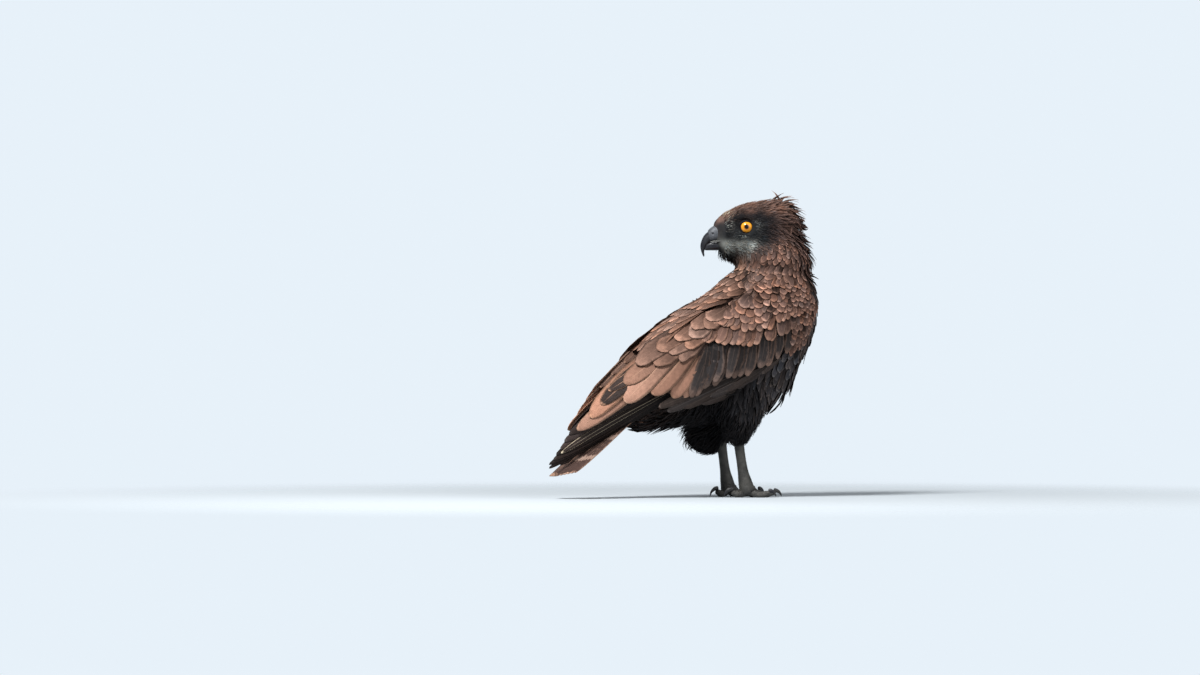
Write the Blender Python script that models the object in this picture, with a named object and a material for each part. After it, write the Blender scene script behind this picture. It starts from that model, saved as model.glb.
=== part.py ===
"""A brown snake eagle (Circaetus cinereus), life size, standing and looking back over its left shoulder.

+X is where the breast faces, +Y the bird's left, +Z up. The soles stand on Z = 0, and the origin is on that
floor, under the middle of the bird's bounding box. Every solid is a closed ball that a function reshapes:
rings along a profile for the trunk, head, bill, neck, thighs and toes, and feather blades on the curved
surface of the folded wing. Tables of stations are in millimetres; the MM factor turns them into metres.
"""

from math import acos, cos, hypot, pi, radians, sin, sqrt

import bmesh
import bpy
from mathutils import Matrix, Vector

MM = 0.001

# Driving dimensions
BOX_MIDDLE_X = -0.095  # middle of the bounding box, seen from the point midway between the feet
BOX_MIDDLE_Y = 0.0
HEAD_TURN = radians(155)  # the head's turn to the left, from straight ahead
NECK_AXIS = Vector((38, 10, 0)) * MM  # the head's own origin, on the floor plan
WING_CHORD = 492 * MM  # folded wing, from the bend to the longest primary
TAIL_SLOPE = radians(39)  # below the horizontal
TAIL_LENGTH = 240 * MM
TAIL_HALF_WIDTH = 15 * MM  # of the middle feather
TAIL_NARROWING = 0.7 * MM  # from each feather to the next one outwards
TAIL_SPREAD = {-1: 5.6 * MM, 1: 5.4 * MM}  # from each tip to its neighbour's, right and left
TAIL_STEPS = {-1: 6 * MM, 1: 1.5 * MM}  # how much shorter each feather is than its neighbour
TAIL_DROPS = {-1: 2.3 * MM, 1: 1.5 * MM}  # and how much lower it lies
FOOT_APART = 33 * MM  # each foot's distance from the bird's middle plane
GAP = 0.35 * MM  # clearance between touching solids
SIDES = {"right": -1, "left": 1}

FORE = Vector((1, 0, 0))
UP = Vector((0, 0, 1))


# Interpolation and closed forms -----------------------------------------------------------------------


def between(table, t):
    """A smooth (Catmull-Rom) value at t, from 0 to 1, through the rows of a table at equal steps."""
    steps = len(table) - 1
    place = min(max(t, 0.0), 1.0) * steps
    i = min(int(place), steps - 1)
    f = place - i
    rows = [table[min(max(i + k, 0), steps)] for k in (-1, 0, 1, 2)]
    return [
        b + 0.5 * f * ((c - a) + f * ((2 * a - 5 * b + 4 * c - d) + f * (3 * b - a - 3 * c + d)))
        for a, b, c, d in zip(*rows)
    ]


def rounding(t, first, last):
    """A factor that rounds a form's two ends like an ellipse, over its first and last shares."""
    near = min(t / first, 1.0) if first else 1.0
    far = min((1 - t) / last, 1.0) if last else 1.0
    return sqrt(max(0.0, 1 - (1 - near) ** 2)) * sqrt(max(0.0, 1 - (1 - far) ** 2))


def superellipse(side, up, power):
    """Moves a point of the unit circle out to a squarer (power over 2) or a sharper (under 2) section."""
    if not (side or up):
        return 0.0, 0.0
    reach = (abs(side) ** power + abs(up) ** power) ** (-1 / power)
    return side * reach, up * reach


def closed_form(name, place, around, along):
    """A ball reshaped by place(t, side, up): t runs from 0 to 1 along it, side and up round its section."""
    mesh = bpy.data.meshes.new(name)
    ball = bmesh.new()
    bmesh.ops.create_uvsphere(ball, u_segments=around, v_segments=along, radius=1)
    for vertex in ball.verts:
        x, y, z = vertex.co
        radius = hypot(x, y)
        side, up = (x / radius, y / radius) if radius > 1e-6 else (0.0, 0.0)
        vertex.co = place(acos(min(max(-z, -1.0), 1.0)) / pi, side, up)
    bmesh.ops.triangulate(ball, faces=ball.faces)
    if ball.calc_volume(signed=True) < 0:
        bmesh.ops.reverse_faces(ball, faces=ball.faces)
    ball.to_mesh(mesh)
    ball.free()
    mesh.shade_smooth()
    thing = bpy.data.objects.new(name, mesh)
    bpy.context.scene.collection.objects.link(thing)
    thing.parent = bird
    return thing


def profile_form(name, stations, frame, around, along, ends=(0.12, 0.12), power=2.0):
    """A form between an upper and a lower profile. A station is (upper fore, upper height, lower fore,
    lower height, half width); frame turns fore, sideways and height into the bird's own axes."""

    def place(t, side, up):
        fore_1, high_1, fore_2, high_2, width = (v * MM for v in between(stations, t))
        round_off = rounding(t, *ends)
        side, up = superellipse(side, up, power)
        middle = Vector(((fore_1 + fore_2) / 2, 0, (high_1 + high_2) / 2))
        rise = Vector(((fore_1 - fore_2) / 2, 0, (high_1 - high_2) / 2))
        return frame @ (middle + round_off * (up * rise + side * Vector((0, width, 0))))

    return closed_form(name, place, around, along)


def tube_form(name, stations, frame, around, along, ends=(0.1, 0.1), flat=FORE, pads=0, swell=0.0):
    """A form round a bent line. A station is (x, y, z, radius along flat, radius across it). Pads are
    swellings along it."""

    def centre(t):
        return Vector(between(stations, t)[:3]) * MM

    def place(t, side, up):
        radius_1, radius_2 = (v * MM for v in between(stations, t)[3:])
        heading = (centre(min(t + 0.02, 1)) - centre(max(t - 0.02, 0))).normalized()
        across = heading.cross(flat).normalized()
        along_flat = across.cross(heading)
        size = rounding(t, *ends) * (1 + swell * cos(2 * pi * pads * t))
        return frame @ (centre(t) + size * (side * radius_1 * along_flat + up * radius_2 * across))

    return closed_form(name, place, around, along)


# Solids from forms ------------------------------------------------------------------------------------


def hide(thing):
    """Makes a helper: the build and a render leave it out."""
    thing.hide_render = True
    thing.display_type = "WIRE"
    return thing


def grown(thing):
    """A hidden copy of a form that stands out from it by the gap, to cut its neighbours with."""
    name = thing.name + "_grown"
    if name not in bpy.data.objects:
        cutter = hide(bpy.data.objects.new(name, thing.data))
        bpy.context.scene.collection.objects.link(cutter)
        cutter.parent = bird
        swell = cutter.modifiers.new("gap", "DISPLACE")
        swell.strength = GAP
        swell.mid_level = 0
    return bpy.data.objects[name]


def boolean(thing, other, operation):
    step = thing.modifiers.new(f"{operation.lower()} {other.name}", "BOOLEAN")
    step.operation = operation
    step.solver = "EXACT"
    step.object = other


def clear_of(thing, *neighbours):
    """Cuts a solid back from its neighbours' forms, leaving the gap."""
    for neighbour in neighbours:
        boolean(thing, grown(neighbour), "DIFFERENCE")


def joined(thing, *forms):
    """Unites a solid with more forms, which are then only helpers."""
    for form in forms:
        boolean(thing, hide(form), "UNION")
    return thing


def finish(thing, colour, roughness):
    name = f"{colour} {roughness}"
    material = bpy.data.materials.get(name) or bpy.data.materials.new(name)
    material.use_nodes = True
    surface = material.node_tree.nodes["Principled BSDF"]
    surface.inputs["Base Color"].default_value = (*colour, 1)
    surface.inputs["Roughness"].default_value = roughness
    thing.data.materials.clear()
    thing.data.materials.append(material)


# Trunk, neck and tail ---------------------------------------------------------------------------------

TRUNK_STATIONS = [  # dorsal x, z; ventral x, z; half width, from the neck's root to the tail's
    (44, 374, 88, 370, 26),
    (3, 362, 124, 346, 50),
    (-26, 333, 136, 301, 61),
    (-56, 305, 127, 254, 66),
    (-87, 277, 104, 208, 68),
    (-114, 248, 77, 164, 65),
    (-136, 222, 28, 131, 57),
    (-154, 199, -48, 120, 46),
    (-172, 179, -110, 115, 36),
    (-190, 161, -158, 107, 26),
    (-208, 143, -192, 100, 16),
]

NECK_STATIONS = [  # middle x, y, z; radius fore and aft, radius across, upwards
    (58, 0, 334, 36, 32),
    (60, 1, 348, 52, 47),
    (62, 2, 364, 61, 56),
    (63, 4, 382, 57, 54),
    (62, 6, 402, 48, 47),
    (54, 8, 420, 36, 35),
    (46, 9, 436, 22, 22),
]


TAIL_ROOT = Vector((-131, 0, 184)) * MM
TAIL_ROOT_STEP = 5 * MM  # sideways between the roots of neighbours
TAIL_CROWN = 2 * MM  # how much higher a feather's shaft lies than its edges
TAIL_HALF_THICKNESS = 1.6 * MM


def make_trunk():
    return profile_form("trunk", TRUNK_STATIONS, Matrix.Identity(4), 22, 15, ends=(0.1, 0.08))


def make_neck():
    return tube_form("neck", NECK_STATIONS, Matrix.Identity(4), 16, 9, ends=(0.2, 0.25))


def make_tail():
    """The closed tail: a middle feather, and pairs stepped outwards and downwards below it."""
    back = Vector((-cos(TAIL_SLOPE), 0, -sin(TAIL_SLOPE)))
    down = Vector((sin(TAIL_SLOPE), 0, -cos(TAIL_SLOPE)))

    def feather(pair, side):
        length = TAIL_LENGTH - pair * TAIL_STEPS[side]
        half_width = TAIL_HALF_WIDTH - pair * TAIL_NARROWING

        def place(t, across, up):
            width = half_width * (0.55 + 0.45 * min(t / 0.4, 1)) * rounding(t, 0.05, 0.16)
            fan = pair * (TAIL_ROOT_STEP + TAIL_SPREAD[side] * t)
            drop = pair * TAIL_DROPS[side]
            crown = TAIL_CROWN * (1 - across * across)
            thick = TAIL_HALF_THICKNESS * rounding(t, 0.05, 0.06)
            sideways = Vector((0, side * fan + across * width, 0))
            return TAIL_ROOT + back * (t * length) + sideways + down * (drop - crown - up * thick)

        return closed_form(f"rectrix_{pair}_{side:+d}", place, 6, 6)

    middle = feather(0, 1)
    middle.name = "tail"
    return joined(middle, *[feather(pair, side) for pair in (1, 2, 3) for side in (-1, 1)])


# Head, bill and eyes ----------------------------------------------------------------------------------

HEAD_STATIONS = [  # upper fore, height; lower fore, height; half width, from the nape to the lores
    (-66, 436, -68, 414, 12),
    (-57, 452, -60, 396, 26),
    (-42, 464, -44, 380, 34),
    (-24, 467, -24, 369, 37),
    (-6, 466, -4, 364, 36),
    (12, 463, 14, 364, 33),
    (28, 458.5, 30, 366, 28.5),
    (42, 452, 43, 371, 23),
    (55, 444.5, 53, 378, 17.5),
    (66, 436, 61, 386, 12.5),
    (73, 428, 66, 394, 8.5),
]
CERE_STATIONS = [  # as the head's, from inside the face to the horn of the bill
    (56, 431, 56, 399, 12.5),
    (66, 427, 62, 401, 12.5),
    (73, 423, 69, 401, 11.6),
    (78, 417.5, 74, 400, 10.2),
]
UPPER_BILL_STATIONS = [
    (62, 426, 60, 403, 11),
    (70, 422, 66, 402, 10.6),
    (77, 417, 72, 399, 9.6),
    (83.5, 410.5, 77.5, 395.5, 7.8),
    (87.5, 402, 80.5, 391, 6),
    (89, 394, 82, 388.5, 4.4),
    (87.5, 385.5, 83, 385, 2.9),
    (84, 377, 82.3, 378.5, 1.2),
]
LOWER_BILL_STATIONS = [
    (46, 402, 48, 389, 10),
    (56, 402, 57, 388, 9.8),
    (65, 401, 65, 388, 8.8),
    (73, 398, 73, 388.5, 7),
    (80, 393, 80, 389, 3.6),
]
EYE_FORE, EYE_HEIGHT, EYE_OUT = 17 * MM, 424 * MM, 23.5 * MM
EYE_RADIUS = 11 * MM
ORBIT_REACH, ORBIT_DEPTH = 16 * MM, 2.6 * MM  # the hollow round the eye
BROW_FORE, BROW_HEIGHT = 22 * MM, 437.5 * MM
BROW_REACH, BROW_LEDGE = 9 * MM, 2.6 * MM
CHEEK = 12 * MM  # nearer to its middle plane than this, the head keeps its plain form


def head_frame():
    return Matrix.Translation(NECK_AXIS) @ Matrix.Rotation(HEAD_TURN, 4, "Z")


def make_head():
    """An egg-shaped head with a hollow round each eye and a ledge of brow over it."""
    frame = head_frame()
    head = profile_form("head", HEAD_STATIONS, frame, 20, 15, ends=(0.14, 0.1), power=2.2)
    inward = frame.inverted()
    for vertex in head.data.vertices:
        fore, side, height = inward @ vertex.co
        out = 1 if side > 0 else -1
        orbit = hypot(fore - EYE_FORE, (height - EYE_HEIGHT) * 1.15)
        brow = hypot((fore - BROW_FORE) * 0.5, height - BROW_HEIGHT)
        shift = BROW_LEDGE * max(0, 1 - brow / BROW_REACH) - ORBIT_DEPTH * max(0, 1 - orbit / ORBIT_REACH)
        if abs(side) > CHEEK:
            vertex.co = frame @ Vector((fore, side + out * shift, height))
    return head


def make_bill():
    frame = head_frame()
    cere = profile_form("cere", CERE_STATIONS, frame, 12, 6, ends=(0.1, 0.12), power=2.3)
    upper = profile_form("bill_upper", UPPER_BILL_STATIONS, frame, 12, 14, ends=(0.05, 0.06), power=1.9)
    lower = profile_form("bill_lower", LOWER_BILL_STATIONS, frame, 8, 7, ends=(0.1, 0.16), power=2.2)
    return cere, upper, lower


def make_eye(name, side):
    def place(t, across, up):
        girth = sin(pi * t)
        ball = Vector((girth * across, -cos(pi * t) * side, girth * up)) * EYE_RADIUS
        return head_frame() @ (Vector((EYE_FORE, side * EYE_OUT, EYE_HEIGHT)) + ball)

    return closed_form(f"eye_{name}", place, 10, 7)


# Folded wings -----------------------------------------------------------------------------------------

WING_BENDS = {-1: Vector((105, 0, 290)) * MM, 1: Vector((105, 0, 300)) * MM}  # right and left
WING_TIPS = {-1: Vector((-325, 0, 50)) * MM, 1: Vector((-306, 0, 56)) * MM}  # the left one drawn in further
TIP_INSETS = {-1: 0, 1: 10 * MM}  # and its tip lies nearer to the bird's middle plane
WING_BULGE_HEIGHT = 18 * MM  # how far above the chord the folded wing stands out most
WING_WIDTHS = [  # distance from the middle plane and radius of the bulge, from the bend to the tip
    (66, 64),
    (82, 80),
    (89, 86),
    (90, 88),
    (87, 88),
    (78, 84),
    (66, 76),
    (54, 66),
    (42, 58),
    (32, 52),
    (25, 50),
]
ARM_STATIONS = [  # upper edge, lower edge, thickness; the coverts and scapulars, from the bend backwards
    (52, -10, 16),
    (78, -34, 22),
    (90, -44, 26),
    (94, -48, 27),
    (95, -47, 26),
    (93, -42, 22),
    (89, -32, 17),
    (84, -18, 12),
    (77, -2, 8),
    (68, 22, 4),
]
ARM_START, ARM_LENGTH = -4 * MM, 312 * MM
EDGE_SINK = 9 * MM  # how far the pad's edges dip into the body's side
ROOT_SINK = 4.5 * MM  # how much deeper a long feather's root lies than its tip
QUILL_CROWN = 0.8 * MM  # how much a long feather's shaft stands above its edges
QUILL_HALF_THICKNESS = 1.3 * MM
SECONDARIES = [  # tip's distance along and above the chord; half width, from the lowest, outermost, inwards
    (236, -34, 16),
    (274, -18, 17),
    (312, 6, 18),
    (430, 34, 18),
    (402, 46, 17),
    (354, 65, 16),
]
PRIMARIES = [  # as the secondaries, from the longest to those that fold under the tertials
    (492, 2, 10),
    (480, 13, 12),
    (458, 25, 13),
]


def wing_surface(side, along, above, outward):
    """A point on the folded wing: along and above its chord, and outward from its curved surface."""
    bend = WING_BENDS[side]
    chord = (WING_TIPS[side] - bend) / WING_CHORD
    rise = Vector((chord.z, 0, -chord.x)).normalized()
    width, radius = (v * MM for v in between(WING_WIDTHS, along / WING_CHORD))
    width -= TIP_INSETS[side] * max(0, along / WING_CHORD) ** 2
    off = min(abs(above - WING_BULGE_HEIGHT) / radius, 0.95)
    out = width * sqrt(1 - off * off) + outward
    return bend + chord * along + rise * above + Vector((0, side * out, 0))


def make_arm(name, side):
    """The coverts and scapulars as one curved pad, its edges sunk in the body's side."""

    def place(t, across, up):
        upper, lower, thick = (v * MM for v in between(ARM_STATIONS, t))
        round_off = rounding(t, 0.12, 0.1)
        middle, half = (upper + lower) / 2, (upper - lower) / 2 * round_off
        sink = EDGE_SINK * (1 - t) * (across**4 + 1 - round_off)
        outward = (up - 1) * thick / 2 * rounding(t, 0.05, 0.03) - sink
        return wing_surface(side, ARM_START + t * ARM_LENGTH, middle + across * half, outward)

    return closed_form(f"wing_{name}", place, 16, 13)


def make_quills(name, side, tips, root, spread, depth, step):
    """A row of long feathers, each a blade on the wing's surface, every next one a step further out."""
    blades = []
    for number, (tip_along, tip_above, half_width) in enumerate(tips):
        share = number / (len(tips) - 1)
        tip = Vector((tip_along, tip_above)) * MM
        start = (Vector(root) + Vector(spread) * share) * MM
        broadside = (tip - start).normalized().orthogonal()
        layer = (depth + number * step) * MM

        def place(t, across, up):
            width = half_width * MM * (0.6 + 0.4 * min(t / 0.3, 1)) * rounding(t, 0.06, 0.2)
            spot = start + (tip - start) * t + broadside * across * width
            crown = (1 - across * across) * QUILL_CROWN - ROOT_SINK * (1 - t) ** 2
            outward = layer + crown + up * QUILL_HALF_THICKNESS * rounding(t, 0.06, 0.05)
            return wing_surface(side, spot.x, spot.y, outward)

        blades.append(closed_form(f"quill_{name}_{number}", place, 6, 7))
    blades[0].name = name
    return joined(blades[0], *blades[1:])


def make_wing(name, side):
    arm = make_arm(name, side)
    secondaries = make_quills(f"secondaries_{name}", side, SECONDARIES, (165, -16), (60, 72), -6.5, 0.6)
    primaries = make_quills(f"primaries_{name}", side, PRIMARIES, (250, 20), (-10, 24), -12.5, 0.8)
    return arm, secondaries, primaries


# Legs -------------------------------------------------------------------------------------------------

THIGH_STATIONS = {  # middle x, y from the middle plane, z; radius fore and aft, radius across, downwards
    "right": [
        (-22, 20, 216, 34, 20),
        (-16, 28, 188, 50, 26),
        (-14, 34, 162, 52, 30),
        (-15, 36, 136, 42, 28),
        (-16, 35, 112, 29, 23),
        (-17, 35, 94, 18, 16),
        (-17, 34, 80, 11, 10),
    ],
    "left": [
        (-22, 20, 216, 34, 20),
        (-16, 28, 188, 50, 26),
        (-14, 34, 162, 52, 30),
        (-20, 36, 136, 45, 28),
        (-30, 36, 112, 40, 24),
        (-39, 37, 90, 32, 17),
        (-46, 36, 69, 20, 10),
    ],
}
SHANK_STATIONS = [  # middle x, y off the foot's line, z; radius fore and aft, radius across, downwards
    (-17, 0, 118, 7, 7),
    (-15, 0, 98, 8, 7.2),
    (-13, 0, 78, 7.8, 6.8),
    (-10, 0, 58, 7.6, 6.6),
    (-7, 0, 40, 8.4, 7.4),
    (-4, 0, 26, 10.5, 9.5),
    (-1, 0, 14, 12, 10.5),
]
ANKLE_STATIONS = [(0, 0, 22, 11, 10), (0, 0, 14, 13, 12), (2, 0, 5, 12, 11)]
TOES = {  # turn from straight ahead in degrees, length, thickness factor
    "middle": (2, 47, 1.0),
    "inner": (38, 34, 1.0),
    "outer": (-36, 38, 0.92),
    "hallux": (176, 25, 1.05),
}
SOLE_DEPTH = 0.9 * MM  # how much of each pad is pressed flat


def foot_frame(side):
    """The foot's own axes: x ahead, y towards the bird's middle, so that both feet share their tables."""
    toe_out = radians(9) * side
    place = Matrix.Translation((0, side * FOOT_APART, 0)) @ Matrix.Rotation(toe_out, 4, "Z")
    return place @ Matrix.Diagonal((1, -side, 1, 1))


def toe_stations(length, factor):
    """A toe that rests on its pads and lifts its last joint."""
    radius = 5.3 * factor
    sole = radius - SOLE_DEPTH / MM
    return [
        (0, 0, sole + 5, radius + 1.6, radius + 1.4),
        (length * 0.25, 0, sole + 3, radius + 0.4, radius + 0.6),
        (length * 0.5, 0, sole, radius, radius),
        (length * 0.75, 0, sole + 1, radius - 0.4, radius - 0.2),
        (length, 0, sole + 4.5, radius - 1.1, radius - 1),
    ]


def claw_stations(length, curve):
    """A talon: an arc from inside the toe's last joint, forwards and down to its point above the floor."""
    first, last = radians(8), radians(-82)
    rows = []
    for step in range(6):
        share = step / 5
        heading = first + (last - first) * share
        thick = 4.1 * (1 - share) ** 0.75 + 0.4
        fore = length - 3 + curve * (sin(first) - sin(heading))
        height = 1.2 + curve * (cos(heading) - cos(last))
        rows.append((fore, 0, height, thick, thick * 0.8))
    return rows


def make_foot(name, side):
    """Four toes joined to the base of the shank, their soles pressed flat on the floor, and four talons."""
    frame = foot_frame(side)
    foot = tube_form(f"foot_{name}", ANKLE_STATIONS, frame, 10, 6, ends=(0.4, 0.4))
    toes, claws = [], []
    for toe, (turn, length, factor) in TOES.items():
        turned = frame @ Matrix.Rotation(radians(turn), 4, "Z")
        stations = toe_stations(length, factor)
        form = tube_form(
            f"toe_{name}_{toe}", stations, turned, 8, 7, ends=(0.12, 0.14), flat=UP, pads=3, swell=0.07
        )
        curve = 14 if toe in ("hallux", "inner") else 11
        claw = tube_form(
            f"claw_{name}_{toe}", claw_stations(length, curve), turned, 6, 7, ends=(0.1, 0.02), flat=UP
        )
        toes.append(form)
        claws.append(claw)
    joined(foot, *toes)
    floor = bpy.data.objects.get("floor") or make_floor()
    boolean(foot, floor, "DIFFERENCE")
    for claw in claws:
        clear_of(claw, *toes)
    return foot, toes, claws


def make_floor():
    """A block below the floor's level, to press the soles flat."""
    mesh = bpy.data.meshes.new("floor")
    block = bmesh.new()
    bmesh.ops.create_cube(block, size=0.4, matrix=Matrix.Translation((0, 0, -0.2)))
    block.to_mesh(mesh)
    block.free()
    floor = hide(bpy.data.objects.new("floor", mesh))
    bpy.context.scene.collection.objects.link(floor)
    floor.parent = bird
    return floor


def make_leg(name, side):
    stations = [(x, side * y, z, fore, across) for x, y, z, fore, across in THIGH_STATIONS[name]]
    thigh = tube_form(f"thigh_{name}", stations, Matrix.Identity(4), 14, 11, ends=(0.2, 0.12))
    shank = tube_form(f"shank_{name}", SHANK_STATIONS, foot_frame(side), 10, 9, ends=(0.1, 0.06))
    return thigh, shank


# The whole bird ---------------------------------------------------------------------------------------

BROWN = (0.20, 0.115, 0.072)
DARK_BROWN = (0.12, 0.075, 0.055)
BARE_GREY = (0.30, 0.27, 0.22)
CERE_GREY = (0.16, 0.16, 0.17)
HORN = (0.025, 0.025, 0.03)
YELLOW = (0.85, 0.45, 0.03)


def make_bird():
    trunk, neck, tail, head = make_trunk(), make_neck(), make_tail(), make_head()
    cere, upper, lower = make_bill()
    eyes = [make_eye(name, side) for name, side in SIDES.items()]
    clear_of(head, trunk, *eyes)
    clear_of(neck, head, trunk)
    clear_of(cere, head)
    clear_of(upper, head, cere)
    clear_of(lower, head, cere, upper)
    for thing in (trunk, neck, head):
        finish(thing, BROWN, 0.8)
    finish(tail, DARK_BROWN, 0.6)
    finish(cere, CERE_GREY, 0.5)
    for horn in (upper, lower):
        finish(horn, HORN, 0.3)
    for eye in eyes:
        finish(eye, YELLOW, 0.1)
    for name, side in SIDES.items():
        arm, secondaries, primaries = make_wing(name, side)
        thigh, shank = make_leg(name, side)
        foot, toes, claws = make_foot(name, side)
        clear_of(arm, trunk, neck)
        clear_of(secondaries, arm, trunk)
        clear_of(primaries, arm, trunk, secondaries)
        clear_of(tail, primaries)
        clear_of(thigh, trunk, arm, secondaries)
        clear_of(shank, thigh, foot)
        for flesh in (arm, thigh):
            finish(flesh, BROWN, 0.8)
        for quills in (secondaries, primaries):
            finish(quills, DARK_BROWN, 0.6)
        for bare in (shank, foot):
            finish(bare, BARE_GREY, 0.7)
        for claw in claws:
            finish(claw, HORN, 0.3)
    clear_of(tail, trunk)


for old in list(bpy.data.objects):
    bpy.data.objects.remove(old)
bird = bpy.data.objects.new("bird", None)
bird.location = (-BOX_MIDDLE_X, -BOX_MIDDLE_Y, 0)
bpy.context.scene.collection.objects.link(bird)
make_bird()
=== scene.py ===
"""The looks of a life-size brown snake eagle: skin, single feathers, eyes, bill and scaly legs.

Lengths in the tables are millimetres from the point on the floor midway between the feet, and MM
turns them to metres. +X is where the breast faces, +Y the bird's left, +Z up. The head has axes of
its own: fore along the bill, side out to the bird's left, and height from the floor.
"""

from math import acos, atan2, cos, hypot, pi, radians, sin, sqrt

import bmesh
import bpy
import numpy as np
from bpy.props import FloatProperty, FloatVectorProperty, IntProperty, PointerProperty
from mathutils import Matrix, Vector
from mathutils.bvhtree import BVHTree
from mathutils.kdtree import KDTree


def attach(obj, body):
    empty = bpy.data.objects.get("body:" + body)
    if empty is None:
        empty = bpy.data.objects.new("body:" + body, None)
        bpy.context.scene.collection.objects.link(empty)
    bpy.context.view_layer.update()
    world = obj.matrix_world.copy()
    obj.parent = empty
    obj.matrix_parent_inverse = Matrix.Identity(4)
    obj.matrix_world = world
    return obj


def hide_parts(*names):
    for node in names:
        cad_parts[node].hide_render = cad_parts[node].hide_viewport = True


bl_info = {
    "name": "Brown snake eagle",
    "version": (1, 0, 0),
    "blender": (4, 5, 0),
    "location": "3D View > Sidebar > Eagle",
    "description": "Dresses the eagle's solids with a skin, feathers, eyes, bill, legs and a plain studio",
    "category": "Object",
}

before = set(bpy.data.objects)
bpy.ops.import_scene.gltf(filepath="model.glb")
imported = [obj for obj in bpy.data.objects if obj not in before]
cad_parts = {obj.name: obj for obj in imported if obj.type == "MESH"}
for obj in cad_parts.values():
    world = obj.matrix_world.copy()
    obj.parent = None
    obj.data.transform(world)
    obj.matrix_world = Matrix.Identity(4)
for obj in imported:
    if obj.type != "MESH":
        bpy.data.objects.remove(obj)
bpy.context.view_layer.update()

MM = 0.001
WELD = 1e-6  # corners of the solids' faces this close are one
SIDES = {"right": -1, "left": 1}
FEET = Vector((95, 0, 0)) * MM
HEAD = Matrix.Translation(FEET + Vector((38, 10, 0)) * MM) @ Matrix.Rotation(radians(155), 4, "Z")
FLESH = ("head", "neck", "trunk", "wing_left", "wing_right", "thigh_left", "thigh_right")


# Sizes and colours that a user may change -----------------------------


def shade(name, description, value):
    """A colour property."""
    return FloatVectorProperty(
        name=name, description=description, default=value, subtype="COLOR", size=3, min=0.0, max=1.0
    )


class EagleColours(bpy.types.PropertyGroup):
    cap: shade("Cap", "Middle of the crown's feathers", (0.140, 0.079, 0.060))
    cap_rim: shade("Cap rim", "Edges of the crown's feathers", (0.270, 0.156, 0.120))
    nape: shade("Nape", "Long feathers at the back of the neck", (0.050, 0.030, 0.026))
    streak: shade("Streak", "Pale streaks over the base of the bill", (0.560, 0.480, 0.350))
    lores: shade("Lores", "Bristly feathers between bill and eye", (0.022, 0.024, 0.027))
    # Partly painted shade: the lids and the feathers round the eye are its real dark surround, and the
    # feathers over the eye are made near-black for the shade under the brow.
    brow: shade("Brow", "Short dark feathers round the eye", (0.010, 0.010, 0.012))
    cheek: shade("Cheek", "Side of the face", (0.014, 0.016, 0.018))
    jaw: shade("Jaw", "Pale stretch under the mouth", (0.380, 0.395, 0.365))
    # Partly painted shade: the throat is dark plumage, made near-black for the shade under the head.
    throat: shade("Throat", "Throat and chin", (0.006, 0.007, 0.008))
    neck: shade("Neck", "Dark middles of the neck's feathers", (0.120, 0.066, 0.051))
    neck_rim: shade("Neck rim", "Edges of the neck's feathers", (0.270, 0.148, 0.107))
    mantle: shade("Mantle", "Middles of the back's and the coverts' feathers", (0.112, 0.063, 0.049))
    mantle_rim: shade("Mantle rim", "Edges of the back's and the coverts' feathers", (0.270, 0.151, 0.108))
    # Partly painted shade: breast, belly, thighs and undertail are dark brown, made darker still for the
    # shade under the body.
    breast: shade("Breast", "Breast and belly", (0.036, 0.032, 0.034))
    breast_rim: shade("Breast rim", "Edges of the breast's and belly's feathers", (0.105, 0.088, 0.082))
    trousers: shade("Trousers", "Loose feathers of thighs and under the tail", (0.014, 0.013, 0.014))
    covert: shade("Great coverts", "Dark middles of the great coverts", (0.042, 0.034, 0.032))
    covert_rim: shade("Great coverts' rim", "Edges of the great coverts", (0.170, 0.108, 0.084))
    scapular: shade("Scapulars", "Middles of the long feathers over the wing's root", (0.130, 0.072, 0.052))
    tertial: shade("Tertials", "Middles of the broad inner wing feathers", (0.330, 0.177, 0.123))
    primary: shade("Primaries", "The long outer wing feathers", (0.028, 0.020, 0.018))
    flight: shade("Flight feathers", "Middles of the long wing feathers", (0.100, 0.052, 0.040))
    flight_rim: shade("Flight feathers' rim", "Edges of the long wing feathers", (0.420, 0.245, 0.165))
    tail: shade("Tail", "The tail between its pale bars", (0.060, 0.036, 0.030))
    tail_bar: shade("Tail bars", "Pale bars and tip of the tail", (0.340, 0.230, 0.180))
    iris: shade("Iris", "The eye's orange yellow", (0.600, 0.240, 0.011))
    bare: shade("Bare legs", "Scaly skin of shanks and toes", (0.048, 0.045, 0.038))
    cere: shade("Cere", "Bare skin round the nostrils", (0.060, 0.064, 0.072))
    gape: shade("Gape", "Bare edge of the mouth", (0.075, 0.075, 0.070))
    horn: shade("Horn", "Bill and claws", (0.010, 0.010, 0.014))


def length(name, description, value, low, high):
    """A length property, given in millimetres."""
    return FloatProperty(
        name=name, description=description, default=value * MM, min=low * MM, max=high * MM, unit="LENGTH"
    )


class EagleSizes(bpy.types.PropertyGroup):
    coat: length("Coat depth", "From the skin to the tips of the feathers", 2.6, 0.5, 6)
    face_coat: length("Face coat depth", "The same on the face", 1.2, 0.2, 3)
    skin_grain: length("Skin grain", "Size of the skin's faces", 3, 1.5, 8)
    iris_radius: length("Iris radius", "Radius of the coloured ring", 9.0, 4, 10)
    pupil_radius: length("Pupil radius", "Radius of the pupil", 3.4, 1, 7)
    seed: IntProperty(name="Seed", description="Chooses the differences between feathers", default=7, min=0)


def strength(name, description, value, unit="POWER", low=0):
    """A property for a strength of light or a focal length."""
    return FloatProperty(name=name, description=description, default=value, min=low, unit=unit)


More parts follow.
